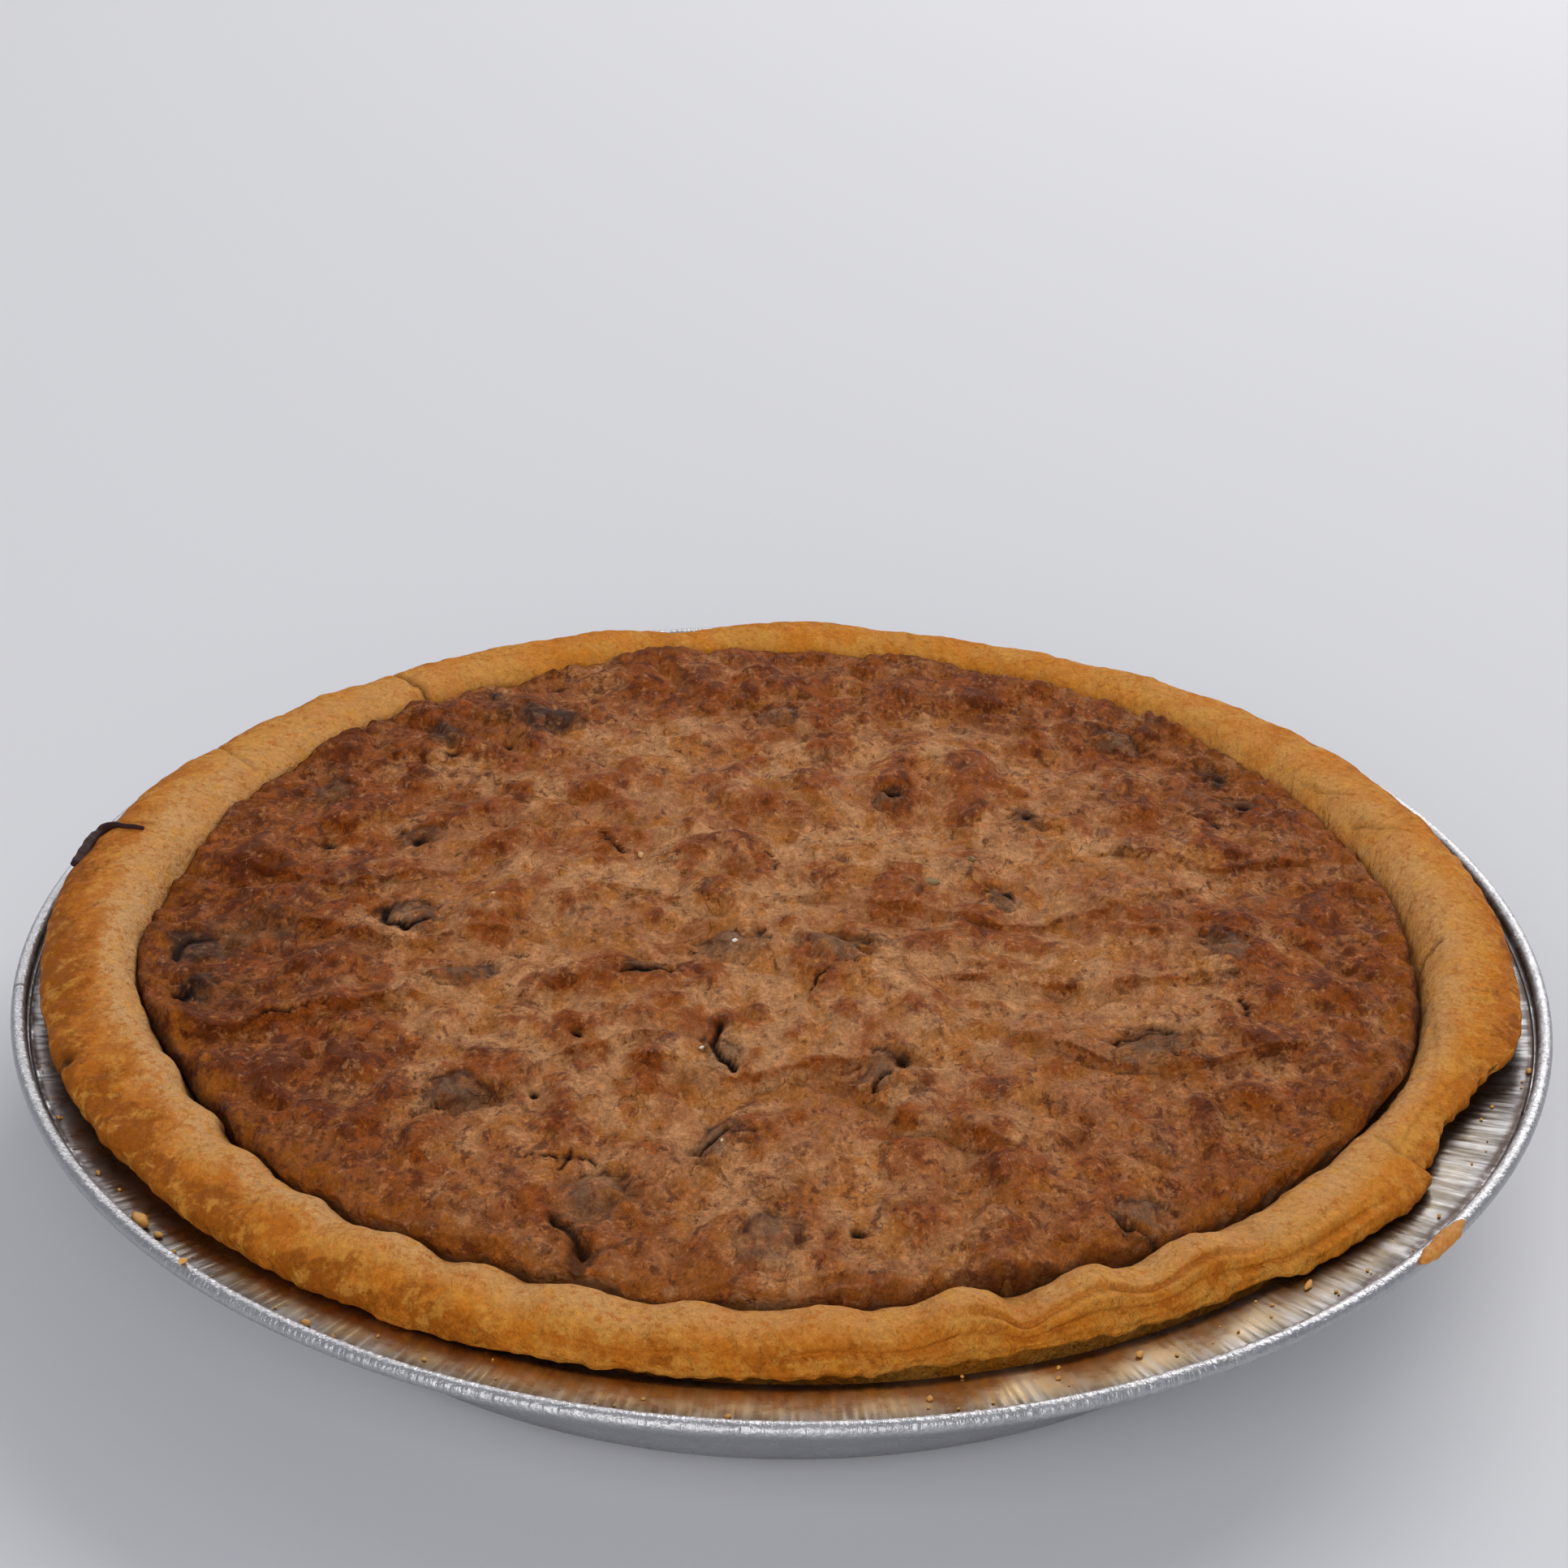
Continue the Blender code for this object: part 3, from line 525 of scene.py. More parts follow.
# --- materials ---
class Look:
    """A Principled material whose node tree is written in short calls, with sizes in mm."""

    def __init__(self, name, roughness, base=None, metallic=0.0):
        self.material = bpy.data.materials.new(name)
        self.material.use_nodes = True
        self.tree = self.material.node_tree
        self.shader = self.tree.nodes["Principled BSDF"]
        self.base = base
        self.set("Roughness", roughness)
        self.set("Metallic", metallic)
        self.place = self.node("ShaderNodeTexCoord", output="Object")

    def set(self, name, value):
        """Set or join one of the shader's own sockets."""
        self.put(self.shader.inputs[name], value)

    def put(self, socket, value):
        """Join a socket to a node's output, or set its value; colours are sRGB 0-255."""
        if hasattr(value, "is_output"):
            self.tree.links.new(value, socket)
        elif socket.type == "RGBA":
            socket.default_value = linear(value)
        else:
            socket.default_value = value

    def node(self, kind, inputs=(), output=0, **settings):
        """A new node's output, with its inputs set or joined."""
        made = self.tree.nodes.new(kind)
        for key, value in settings.items():
            setattr(made, key, value)
        for key, value in dict(inputs).items():
            self.put(made.inputs[key], value)
        return made.outputs[output]

    def noise(self, width, detail=3.0, roughness=0.55, distortion=0.0, place=None):
        """Noise from 0 to 1 with features about as wide as width."""
        inputs = {"Scale": 1 / (width * MM), "Detail": detail, "Roughness": roughness,
                  "Distortion": distortion, "Vector": place or self.place}
        return self.node("ShaderNodeTexNoise", inputs, "Fac")

    def cells(self, width, warp):
        """Distance to the edges of random cells about as wide as width."""
        shift = self.node("ShaderNodeTexNoise", {"Scale": 1.6 / (width * MM), "Vector": self.place}, "Color")
        shift = self.node("ShaderNodeVectorMath", {0: shift, "Scale": warp * MM}, operation="SCALE")
        moved = self.node("ShaderNodeVectorMath", {0: self.place, 1: shift}, operation="ADD")
        inputs = {"Scale": 1 / (width * MM), "Vector": moved}
        return self.node("ShaderNodeTexVoronoi", inputs, "Distance", feature="DISTANCE_TO_EDGE")

    def attribute(self, name, output="Fac"):
        return self.node("ShaderNodeAttribute", output=output, attribute_name=name)

    def times(self, first, second):
        return self.node("ShaderNodeMath", {0: first, 1: second}, operation="MULTIPLY")

    def plus(self, first, share, second):
        """first + share x second."""
        return self.node("ShaderNodeMath", {0: second, 1: share, 2: first}, operation="MULTIPLY_ADD")

    def step(self, value, low, high, to_low=0.0, to_high=1.0):
        """Map value from low..high to to_low..to_high with a smooth step."""
        inputs = {"Value": value, "From Min": low, "From Max": high, "To Min": to_low, "To Max": to_high}
        return self.node("ShaderNodeMapRange", inputs, "Result", interpolation_type="SMOOTHSTEP")

    def cover(self, share, colour):
        """Lay a colour over the base colour by a share."""
        # The mix node's colours are its inputs 6 and 7 and its output 2.
        inputs = {"Factor": share, 6: self.base, 7: colour}
        self.base = self.node("ShaderNodeMix", inputs, 2, data_type="RGBA")

    def patches(self, colour, noise, steps, within=None, **pushed):
        """Lay a colour over in patches of noise, which attributes push up or keep within one."""
        value = self.noise(*noise)
        for name, share in pushed.items():
            value = self.plus(value, share, self.attribute(name))
        share = self.step(value, *steps)
        self.cover(self.times(self.attribute(within), share) if within else share, colour)

    def grain(self, low, high, *noise):
        """Darken or lighten the base colour by fine noise, by grey factors from low to high."""
        grey = self.step(self.noise(*noise), 0.3, 0.7, low, high)
        self.base = self.node("ShaderNodeVectorMath", {0: self.base, "Scale": grey}, operation="SCALE")

    def finish(self, *relief):
        """The material, with its colour and its (height, depth) layers of bumps, coarsest first."""
        self.set("Base Color", self.base)
        under = {}
        for height, depth in relief:
            inputs = {"Distance": depth * MM, "Height": height, **under}
            under["Normal"] = self.node("ShaderNodeBump", inputs)
        for normal in under.values():
            self.set("Normal", normal)
        return self.material


def cookie_look():
    """Mottled, patchy and veined skin, with grey or bare chips, cracks and fine crazing, and painted shade
    in the cracks, pits and crevice at the rim and round the chips.
    """
    look = Look("cookie_skin", 0.62, SKIN_TAN)
    # Patches are a third longer from front to back.
    squeeze = {0: look.place, 1: (1.0, 0.75, 1.0)}
    look.place = look.node("ShaderNodeVectorMath", squeeze, operation="MULTIPLY")
    look.patches(SKIN_PINK, (14, 4), (0.44, 0.56))
    look.patches(SKIN_OCHRE, (6, 5, 0.62), (0.49, 0.58, 0.0, 0.75))
    look.patches(SKIN_BROWNED, (11, 7, 0.66), (0.52, 0.80, 0.0, 0.85), edge=0.21)
    look.patches(SKIN_ORANGE, (7, 7, 0.66, 0.3), (0.57, 0.73, 0.0, 0.85), rise=0.20, edge=0.04)
    look.patches(SKIN_RED_BROWN, (4.8, 6, 0.7, 0.4), (0.60, 0.76, 0.0, 0.75), rise=0.13, edge=0.06)
    look.patches(SKIN_RED_BROWN, (2.1, 5, 0.7, 0.35), (0.57, 0.66, 0.0, 0.7), edge=0.05)
    # Pale tan flecks: partly pale flaky skin, partly painted small highlights.
    look.patches(SKIN_TAN, (1.8, 5, 0.7), (0.55, 0.66, 0.0, 0.42))
    look.patches(SKIN_GREY, (2.8, 5, 0.68), (0.38, 0.58, 0.15, 0.8), "chip")
    look.patches(SKIN_OLIVE, (4, 6, 0.7), (0.36, 0.6, 0.2, 0.9), "smudge")
    look.patches(SKIN_GOLD, (3, 6, 0.7), (0.42, 0.56, 0.0, 0.95), "rim")
    look.grain(0.77, 1.22, 0.9, 5, 0.72)
    look.grain(0.88, 1.12, 0.4, 2, 0.6)
    crazing = look.step(look.cells(6.5, 5), 0.0, 0.02, 1.0, 0.0)
    crazing = look.times(crazing, look.step(look.noise(9, 3), 0.56, 0.64))
    look.cover(look.times(crazing, 0.45), SKIN_RED_BROWN)
    # Painted shade: a dark ring in the trench round each chip, strongest on its far side.
    look.cover(look.times(look.attribute("ring"), 0.85), CHIP_RIM_SHADE)
    look.patches(CHOCOLATE, (2, 4, 0.6), (0.36, 0.5), "bare")
    # Painted shade in the cracks, the pits and the crevice at the rim.
    look.cover(look.attribute("skin_crack_shade"), SHADE_AND_BURN_DARK)
    look.set("Specular IOR Level", 0.13)
    look.set("Roughness", look.step(look.noise(3, 3), 0.3, 0.7, 0.55, 0.8))
    return look.finish((look.noise(3.4, 7, 0.66, 0.8), 1.7),
                       (look.noise(1.2, 5, 0.72, 0.4), 0.9),
                       (look.times(crazing, -1.0), 0.2))


def pastry_look():
    """Golden pastry, toasted in speckles and streaks, paler on the rim's inner face, with painted shade
    along its layers' grooves, in its cracks and at the crevice, and a charred notch.
    """
    look = Look("baked_pastry", 0.6, PASTRY_PALE)
    streak = look.attribute("streak", "Vector")
    look.patches(PASTRY_GOLD, (9, 4), (0.43, 0.57))
    look.cover(look.times(look.attribute("inner"), 0.8), PASTRY_INNER)
    look.patches(PASTRY_TOAST, (9, 7, 0.7, 0.0, streak), (0.53, 0.72, 0.0, 0.85),
                 toast=0.2, inner=-0.1)
    look.patches(PASTRY_TOAST, (1.5, 5, 0.75), (0.53, 0.62, 0.0, 0.7), toast=0.08)
    look.patches(PASTRY_BROWN, (5, 7, 0.72), (0.64, 0.76, 0.0, 0.8), toast=0.16, inner=-0.12)
    # Painted shade along the grooves between the front's dough layers, in the toast colour.
    look.cover(look.attribute("layer_groove_shade"), PASTRY_TOAST)
    look.patches(PASTRY_LIGHT, (3.6, 6, 0.7), (0.50, 0.64, 0.0, 0.6))
    look.grain(0.84, 1.13, 0.8, 5, 0.75)
    look.grain(0.94, 1.05, 0.3, 2, 0.6)
    # Painted shade in the cracks and in the crevice by the filling, and the charred notch.
    look.cover(look.attribute("shade_and_burn"), SHADE_AND_BURN_DARK)
    look.set("Specular IOR Level", 0.06)
    look.set("Roughness", look.step(look.noise(2, 3), 0.3, 0.7, 0.55, 0.78))
    return look.finish((look.noise(4, 4, 0.6, 0.5), 1.2),
                       (look.noise(1.7, 5, 0.7, 0.3, streak), 0.65),
                       (look.noise(0.7, 4, 0.7), 0.22))


def foil_look():
    """Foil with streaky reflections across the flange, painted dimmer and with a painted brown reflection of
    the crust, and dark stains with painted shade in the groove.
    """
    look = Look("tin_foil", 0.2, FOIL_BRIGHT, 1.0)
    rolled = look.attribute("rolled")
    along = look.attribute("ribs", "Vector")
    streaks = (1.6, 4, 0.65, 0.0, along)
    look.cover(look.noise(6, 3), FOIL_DULL)
    # Painted dimmer reflections on the flange's top, by angle.
    look.patches(FOIL_DIMMED_REFLECTION, streaks, (0.36, 0.64, 0.55, 1.0), "flange")
    # Painted brown reflection of the crust on the flange.
    look.patches(FOIL_CRUST_REFLECTION, streaks, (0.36, 0.6, 0.6, 0.92), "crust_reflection")
    # Dark groove and the line beside it, partly charred sugar and partly painted shade; also the dark lap of
    # the rolled edge.
    shade_and_stain = look.times(look.attribute("shade_and_stain"), look.step(look.noise(5, 5, 0.6), 0.34, 0.5))
    look.cover(shade_and_stain, FOIL_SHADE_AND_STAIN)
    look.set("Metallic", look.step(shade_and_stain, 0.2, 0.9, 1.0, 0.2))
    rough = look.step(look.noise(3, 4, 0.6), 0.3, 0.7, 0.24, 0.36)
    look.set("Roughness", look.plus(look.plus(rough, 0.14, rolled), 0.3, shade_and_stain))
    ribs = look.times(look.noise(1.1, 2, 0.5, 0.0, along), look.attribute("pleated"))
    wrinkles = look.times(look.noise(0.9, 3, 0.65, 0.0, along), rolled)
    dents = look.times(look.noise(1.3, 3, 0.6), rolled)
    return look.finish((ribs, 0.16), (wrinkles, 0.25), (dents, 0.35))


def chocolate_look():
    look = Look("chocolate", 0.6, CHOCOLATE)
    look.cover(look.noise(1.6, 4), BURNT_CHOCOLATE)
    look.set("Specular IOR Level", 0.2)
    return look.finish((look.noise(1.1, 4, 0.6), 0.25))


def crumb_look():
    look = Look("pastry_crumb", 0.7, CRUMB_GOLD)
    look.cover(look.noise(1.2, 4), PASTRY_GOLD)
    return look.finish((look.noise(0.5, 4, 0.65), 0.15))


def scrap_look():
    look = Look("dough_scrap", 0.65, PASTRY_PALE)
    look.patches(PASTRY_GOLD, (2.2, 5, 0.7), (0.4, 0.6))
    look.grain(0.8, 1.2, 0.8, 5, 0.7)
    return look.finish((look.noise(1.3, 5, 0.7), 0.7))


def bit_look():
    look = Look("surface_bit", 0.65, BIT_OLIVE)
    look.cover(look.step(look.attribute("shade"), 0.2, 0.6), BIT_TAN)
    # White specks: painted highlights.
    look.cover(look.step(look.attribute("shade"), 0.7, 0.95), BIT_HIGHLIGHT_WHITE)
    return look.finish()


def floor_look():
    look = Look("pale_floor", 0.8, FLOOR_GREY)
    look.set("Specular IOR Level", 0.1)
    return look.finish()


# --- the pastry's rim ---
def rim_guides(angles):
    """Edge, crest and foot of the rim in metres, each as (radius, height) arrays."""
    edge = [values * MM for values in around(RIM_EDGE, angles)]
    crest = [values * MM for values in around(RIM_CREST, angles)]
    foot = [values * MM for values in around(RIM_FOOT, angles)]
    for middle, half_width, height, bulge in LOBES:
        away = np.abs((angles - middle + 180.0) % 360.0 - 180.0)
        bump = np.cos(np.minimum(away / half_width, 1.0) * math.pi / 2) ** 2
        crest[1] = crest[1] + bump * height * MM
        crest[0] = crest[0] - bump * bulge * MM
        foot[0] = foot[0] - bump * bulge * MM
    return edge, crest, foot


def quarter(start, end, steps, corner, power=1.0, straight=0.0):
    """Rows on a quarter (super)ellipse between two (radius, height) guides, without the start."""
    rows = []
    for step in range(1, steps + 1):
        t = step / steps
        along = np.sin(t * math.pi / 2) ** power
        across = 1 - np.maximum(np.cos(t * math.pi / 2), 0.0) ** power
        if corner == "steep":
            along, across = across, along
        along = along + (t - along) * straight
        across = across + (t - across) * straight
        rows.append((start[0] + (end[0] - start[0]) * along,
                     start[1] + (end[1] - start[1]) * across))
    return rows


def flange_top(radius):
    """Height of the flange's upper face at a radius."""
    rise = (FLANGE_HEIGHT - WALL_TOP_HEIGHT) / (FLANGE_RADIUS - WALL_TOP_RADIUS)
    return WALL_TOP_HEIGHT + np.maximum(radius - WALL_TOP_RADIUS, 0.0) * rise


def tin_wall_radius(height, outwards):
    """Radius of the tin's side at a height, moved outwards square to the side."""
    slope = (WALL_TOP_RADIUS - BASE_RADIUS) / WALL_TOP_HEIGHT
    return BASE_RADIUS + slope * height + outwards * math.hypot(1.0, slope)


def crust_rows(angles, edge, crest, foot, crisp, straight):
    """(radius, height) rows of the case from its underside's middle over the rim to its inside.

    Also the place of each row: 0 at the tuck under the rim, 1 at its outer edge,
    2 at the crest and 3 at the foot of its inner face.
    """
    ones = np.ones_like(angles)
    under = 0.7 * MM
    undercut = UNDERCUT * (1 + 0.5 * crisp)
    tuck = (edge[0] - undercut, np.maximum(flange_top(edge[0] - undercut) + 0.6 * MM,
                                           edge[1] - UNDERCUT_RISE * (1 - 0.45 * crisp)))
    neck = np.minimum(WALL_TOP_RADIUS, tuck[0] + 0.4 * MM) - 1 * MM
    lip = np.minimum(WALL_TOP_RADIUS + 2 * MM, tuck[0] - 0.3 * MM)
    rows = [(ones * MM, ones * under),
            (ones * (tin_wall_radius(under, -under) - BASE_CORNER), ones * under),
            (ones * tin_wall_radius(under + BASE_CORNER, -under), ones * (under + BASE_CORNER)),
            (ones * tin_wall_radius(23.5 * MM, -under), ones * 23.5 * MM),
            (neck, ones * WALL_TOP_HEIGHT), (lip, flange_top(lip) + 0.3 * MM), tuck]
    place = [-1.0] * (len(rows) - 1) + [0.0]
    for begin, start, end, steps, form in (
            (0, tuck, edge, 14, ("flat", 1 - 0.65 * crisp, 0.0)),
            (1, edge, crest, 30, ("steep", 1.0, straight)),
            (2, crest, foot, 22, ("flat", 1.0, 0.0))):
        rows += quarter(start, end, steps, *form)
        place += [begin + (step + 1) / steps for step in range(steps)]
    floor = 4.9 * MM
    rows += [(foot[0] - 1.2 * MM, foot[1] - 3 * MM),
             (ones * tin_wall_radius(floor, -floor), ones * (floor + 3 * MM)),
             (ones * (tin_wall_radius(floor, -floor) - 4 * MM), ones * floor),
             (ones * MM, ones * floor)]
    place += [4.0] * 4
    return np.array([row[0] for row in rows]), np.array([row[1] for row in rows]), np.array(place)


def make_crust(material):
    """The pastry case with its wrinkled, pinched rim, its layers, cracks and ragged edge."""
    angles = np.arange(CRUST_SEGMENTS) * 360.0 / CRUST_SEGMENTS
    edge, crest, foot = rim_guides(angles)
    crisp, straight = around(EDGE_FORM, angles)
    edge[0] = edge[0] + FLAP_WIDTH * between(FLAP_FROM, FLAP_TO, angles)
    radius, height, place = crust_rows(angles, edge, crest, foot, crisp, straight)
    grid = polar(angles, radius, height)
    place = np.broadcast_to(place[:, None], radius.shape)
    shown = between((-0.05, 0.15), (2.9, 3.05), place)
    layered = between(LAYERS_FROM, LAYERS_TO, angles)
    upper = between(UPPER_FROM, UPPER_TO, angles)
    # Painted shade in the cracks, darker where deeper, and their depths.
    cracked, depth = pastry_cracks(grid)
    from_notch = np.linalg.norm((grid / MM - polar(*BURNT_NOTCH))[..., :2], axis=-1)
    notch = hump(from_notch, 0.0, NOTCH_WIDTH) * (place < 1.6)
    on_flap = smooth(*FLAP_FROM, angles) * (1 - smooth(*FLAP_TO, angles + FLAP_SLANT * (place - 1)))
    ring = polar(angles, RIM_RADIUS)
    ragged = 0.5 * bumps(ring, 5) + 0.45 * bumps(ring, 2, (3, 1, 4))
    lift = rim_wrinkles(grid, angles, place) + layer_relief(ring, place, layered, upper)
    lift += FLAP_THICKNESS * on_flap * between((0.6, 0.9), (2.2, 2.7), place)
    lift += ragged * crisp * hump(place, 0.75, 0.35) - depth - 0.9 * notch
    masks = crust_masks(grid, angles, place, layered, upper)
    # Painted shade in the crevice where the filling meets the rim; with the cracks' painted shade and the
    # notch's char it makes one mask.
    gap = 0.75 * around(GAP_OPEN, angles)[0] * smooth(2.86, 3.0, place) * (place < 3.5)
    masks["shade_and_burn"] = np.maximum(np.maximum(cracked, 0.9 * notch), gap) * shown
    grid = grid + grid_normals(grid) * (lift * MM * shown)[..., None]
    masks["streak"] = streak_places(grid, angles)
    verts, faces, attributes = close_sweep(grid, masks)
    crust = make_object("pastry_crust", verts, faces, material, attributes)
    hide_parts("pie_crust")


def crust_masks(grid, angles, place, layered, upper):
    """How pale the rim's inner face is, how toasted its top, and the painted shade along the grooves between
    its layers.
    """
    inner = smooth(1.6, 2.3, place + 0.3 * layered) * around(PALENESS, angles)[0]
    inner = inner * (1 - 0.3 * smooth(-0.2, 0.5, bumps(grid, 7)))
    toast = between((0.2, 0.8), (1.15, 1.9), place) * (1 - 0.45 * layered)
    browning = around(BROWNING, angles + 4.0 * (place - 1.5))[0] * (1 - smooth(1.8, 2.5, place))
    toast = toast + browning - 0.5 * layered * hump(place, 0.85, 0.2)
    # Painted shade along the grooves of the layers.
    layer_groove_shade = 0.5 * hump(place, 1.32, 0.10) + 0.6 * upper * hump(place, 1.66, 0.07)
    return {"inner": inner, "toast": toast, "layer_groove_shade": layered * layer_groove_shade}


def rim_wrinkles(grid, angles, place):
    """Lumps and wrinkles of the rim's surface, in mm."""
    lumps = 0.5 * bumps(grid, 10, (5, 1, 2)) + 0.3 * bumps(grid, 5, (1, 9, 4))
    lumps += 0.16 * bumps(grid, 2.2, (3, 3, 8)) + 0.07 * bumps(grid, 1.1)
    slant = np.radians(angles) * RIM_RADIUS / 2.3 + 1.6 * place * MM
    slanted = np.stack([slant, place * MM, 0 * place], axis=-1)
    return lumps + 0.16 * bumps(slanted, 1, (0, 4, 2))


def layer_relief(ring, place, layered, upper):
    """The grooves and ridges of the two dough layers at the front, in mm."""
    wave = 0.05 * bumps(ring, 14, (1, 2, 3))
    grooves = 0.55 * hump(place, 1.30 + wave, 0.05) + 0.5 * upper * hump(place, 1.64 + wave, 0.05)
    ridges = 0.35 * hump(place, 1.74 + wave, 0.07)
    ridges = ridges + 0.3 * hump(place, 1.48, 0.12) + 0.3 * hump(place, 1.08, 0.14)
    sheets = 0.13 * np.sin(place * 34 + 2.5 * bumps(ring, 9, (4, 2, 3)))
    return layered * (ridges - grooves + sheets * hump(place, 1.25, 0.4))


def pastry_cracks(grid):
    """Masks of painted shade, darker where deeper, and depths in mm of the cracks and wrinkles in the rim.
    """
    wobbled = pushed(grid, 0.5 * MM, (2.5, (1, 2, 3)), (2.5, (7, 2, 3)))
    mask = total = np.zeros(grid.shape[:2])
    for path, half_width, depth in PASTRY_CRACKS:
        near = hump(from_path(wobbled, path)[0], 0.0, half_width)
        total = total + near * depth
        mask = np.maximum(mask, near * min(0.85 * depth - 0.15, 0.8))
    return mask, total


def streak_places(grid, angles):
    """Places for streaky textures: wrinkles run slantwise across the rim."""
    steps = np.linalg.norm(np.diff(grid, axis=0), axis=2)
    along = np.concatenate([np.zeros((1, grid.shape[1])), np.cumsum(steps, axis=0)])
    return polar(angles + np.degrees(0.7 * along / RIM_RADIUS), RIM_RADIUS, 0.45 * along)


# --- the filling ---
def disc_from_square(cells):
    """An even grid on the unit disc: (radius, angle in degrees) of each grid point."""
    line = np.linspace(-1, 1, cells + 1)
    a, b = np.meshgrid(line, line)
    wide = np.abs(a) > np.abs(b)
    radius = np.where(wide, a, b)
    other = np.where(wide, b, a)
    ratio = np.divide(other, radius, out=np.zeros_like(radius), where=radius != 0)
    angle = np.where(wide, ratio * 45.0, 90.0 - ratio * 45.0)
    angle = np.where(radius < 0, angle + 180.0, angle)
    return np.abs(radius), angle % 360.0


def base_skin(flat, foot_radius, puffs):
    """Height of the domed skin with its lumps and puffs, before its fine detail."""
    x, y = flat[:, 0], flat[:, 1]
    across = np.minimum(np.hypot(x, y) / foot_radius, 1.0)
    edge_height = around(SKIN_EDGE, np.degrees(np.arctan2(y, x)))[0] * MM
    height = CENTRE_HEIGHT + (edge_height - CENTRE_HEIGHT) * across ** 2.5
    for width, rise in LUMPS:
        height = height + rise * MM * bumps(flat, width, LUMP_OFFSET)
    return height + PUFF_HEIGHT * (puffs - PUFF_MEAN)


def rolled_edge(flat, share, angle, foot_radius):
    """Share of the skin's height over the rim's foot that is left where it rolls over."""
    ragged = EDGE_RAGGED * (bumps(flat, 7, (5, 2, 2)) + 0.7 * bumps(flat, 3, (2, 2, 9)))
    roll = EDGE_CRISPNESS * around(EDGE_ROLL, angle)[0] * MM
    from_edge = share * foot_radius - foot_radius + roll + ragged * smooth(0.8, 0.9, share)
    inset = np.clip(from_edge / roll, 0.0, 1.0)
    shut = 1 - np.clip(around(GAP_OPEN, angle)[0], 0.0, 1.0)
    corner = 2.0 + 2.0 * shut
    profile = (1.0 - inset ** corner) ** (1 / corner)
    return profile + (1 - profile) * EDGE_STAND * shut


def make_filling(material):
    """The cookie with its lumpy, cracked skin."""
    share, angle = (values.ravel() for values in disc_from_square(SKIN_CELLS))
    _, _, foot = rim_guides(angle)
    foot_radius, foot_height = foot[0] - 0.3 * MM, foot[1] + 0.3 * MM
    flat = polar(angle, share * foot_radius)
    detail, puffs, masks = skin_detail(flat)
    height = base_skin(flat, foot_radius, puffs) + detail * MM
    height = foot_height + (height - foot_height) * rolled_edge(flat, share, angle, foot_radius)
    flaky = np.abs(bumps(flat, 3, (4, 4, 1))) + 0.5 * np.abs(bumps(flat, 1.4, (8, 3, 1)))
    height = height + 1.1 * MM * (flaky - 0.3) * between((0.9, 0.96), (0.99, 1.0), share)
    masks["rise"] = masks["rise"] * (1 - CALM_FRONT * smooth(*CALM_FROM, -flat[:, 1]))
    masks["edge"] = smooth(0.45, 0.95, share) * around(OUTER_BROWN, angle)[0]
    rim = smooth(0.935, 0.975, share + 0.014 * bumps(flat, 5, (8, 1, 1)))
    masks["rim"] = rim * around(GOLDEN_RIM, angle)[0]
    at_gap = smooth(0.982, 1.0, share + 0.004 * bumps(flat, 3))
    # Painted shade where the skin's edge drops into the crevice at the rim.
    raise_mask(masks, "skin_crack_shade", around(GAP_OPEN, angle)[0] * at_gap)
    lean = LUMP_LEAN * np.clip(detail + PUFF_HEIGHT / MM * (puffs - PUFF_MEAN), -1.5, 2.0)
    lean = lean * MM * smooth(0.0, 0.12, 1 - share)
    verts = np.stack([flat[:, 0], flat[:, 1] - lean, height], axis=1)
    index = np.arange((SKIN_CELLS + 1) ** 2).reshape(SKIN_CELLS + 1, SKIN_CELLS + 1)
    corners = (index[:-1, :-1], index[:-1, 1:], index[1:, 1:], index[1:, :-1])
    faces = np.stack([corner.ravel() for corner in corners], axis=1).tolist()
    ring = np.concatenate([index[0, :-1], index[:-1, -1], index[-1, :0:-1], index[:0:-1, 0]])
    verts, faces = add_filling_side(verts, faces, ring, angle[ring])
    hidden = np.zeros(len(verts) - len(flat))
    attributes = {key: np.concatenate([values, hidden]) for key, values in masks.items()}
    filling = make_object("cookie_skin", verts, faces, material, attributes)
    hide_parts("cookie_filling")


def add_filling_side(verts, faces, ring, angles):
    """Close the filling with its side and base, just inside the pastry."""
    start = verts[ring]
    floor = 5.2 * MM
    rows = ((np.hypot(start[:, 0], start[:, 1]) - 1.6 * MM, start[:, 2] - 3 * MM),
            (tin_wall_radius(floor + 3.2 * MM, -floor), floor + 3.5 * MM),
            (tin_wall_radius(floor, -floor) - 3.5 * MM, floor))
    upper = ring
    for radius, height in rows:
        lower = np.arange(len(verts), len(verts) + len(ring))
        verts = np.concatenate([verts, polar(angles, radius, height)])
        faces += np.stack([upper, lower, np.roll(lower, -1), np.roll(upper, -1)], axis=1).tolist()
        upper = lower
    middle = len(verts)
    verts = np.concatenate([verts, [[0.0, 0.0, floor]]])
    faces += [(int(first), middle, int(second)) for first, second in zip(upper, np.roll(upper, -1))]
    return verts, faces


def ellipse_reach(flat, x, y, length, width, turn):
    """How far points lie from an ellipse's middle, where 1 is its outline; sizes in mm."""
    spots = flat[:, :2] / MM - (x, y)
    turn = math.radians(turn)
    along = spots[:, 0] * math.cos(turn) + spots[:, 1] * math.sin(turn)
    across = spots[:, 1] * math.cos(turn) - spots[:, 0] * math.sin(turn)
    return np.hypot(along / (length / 2), across / (width / 2))


def raise_mask(masks, name, values):
    """Raise a mask to the values where they are higher; a new one starts at 0."""
    masks[name] = np.maximum(masks.get(name, 0.0), values)


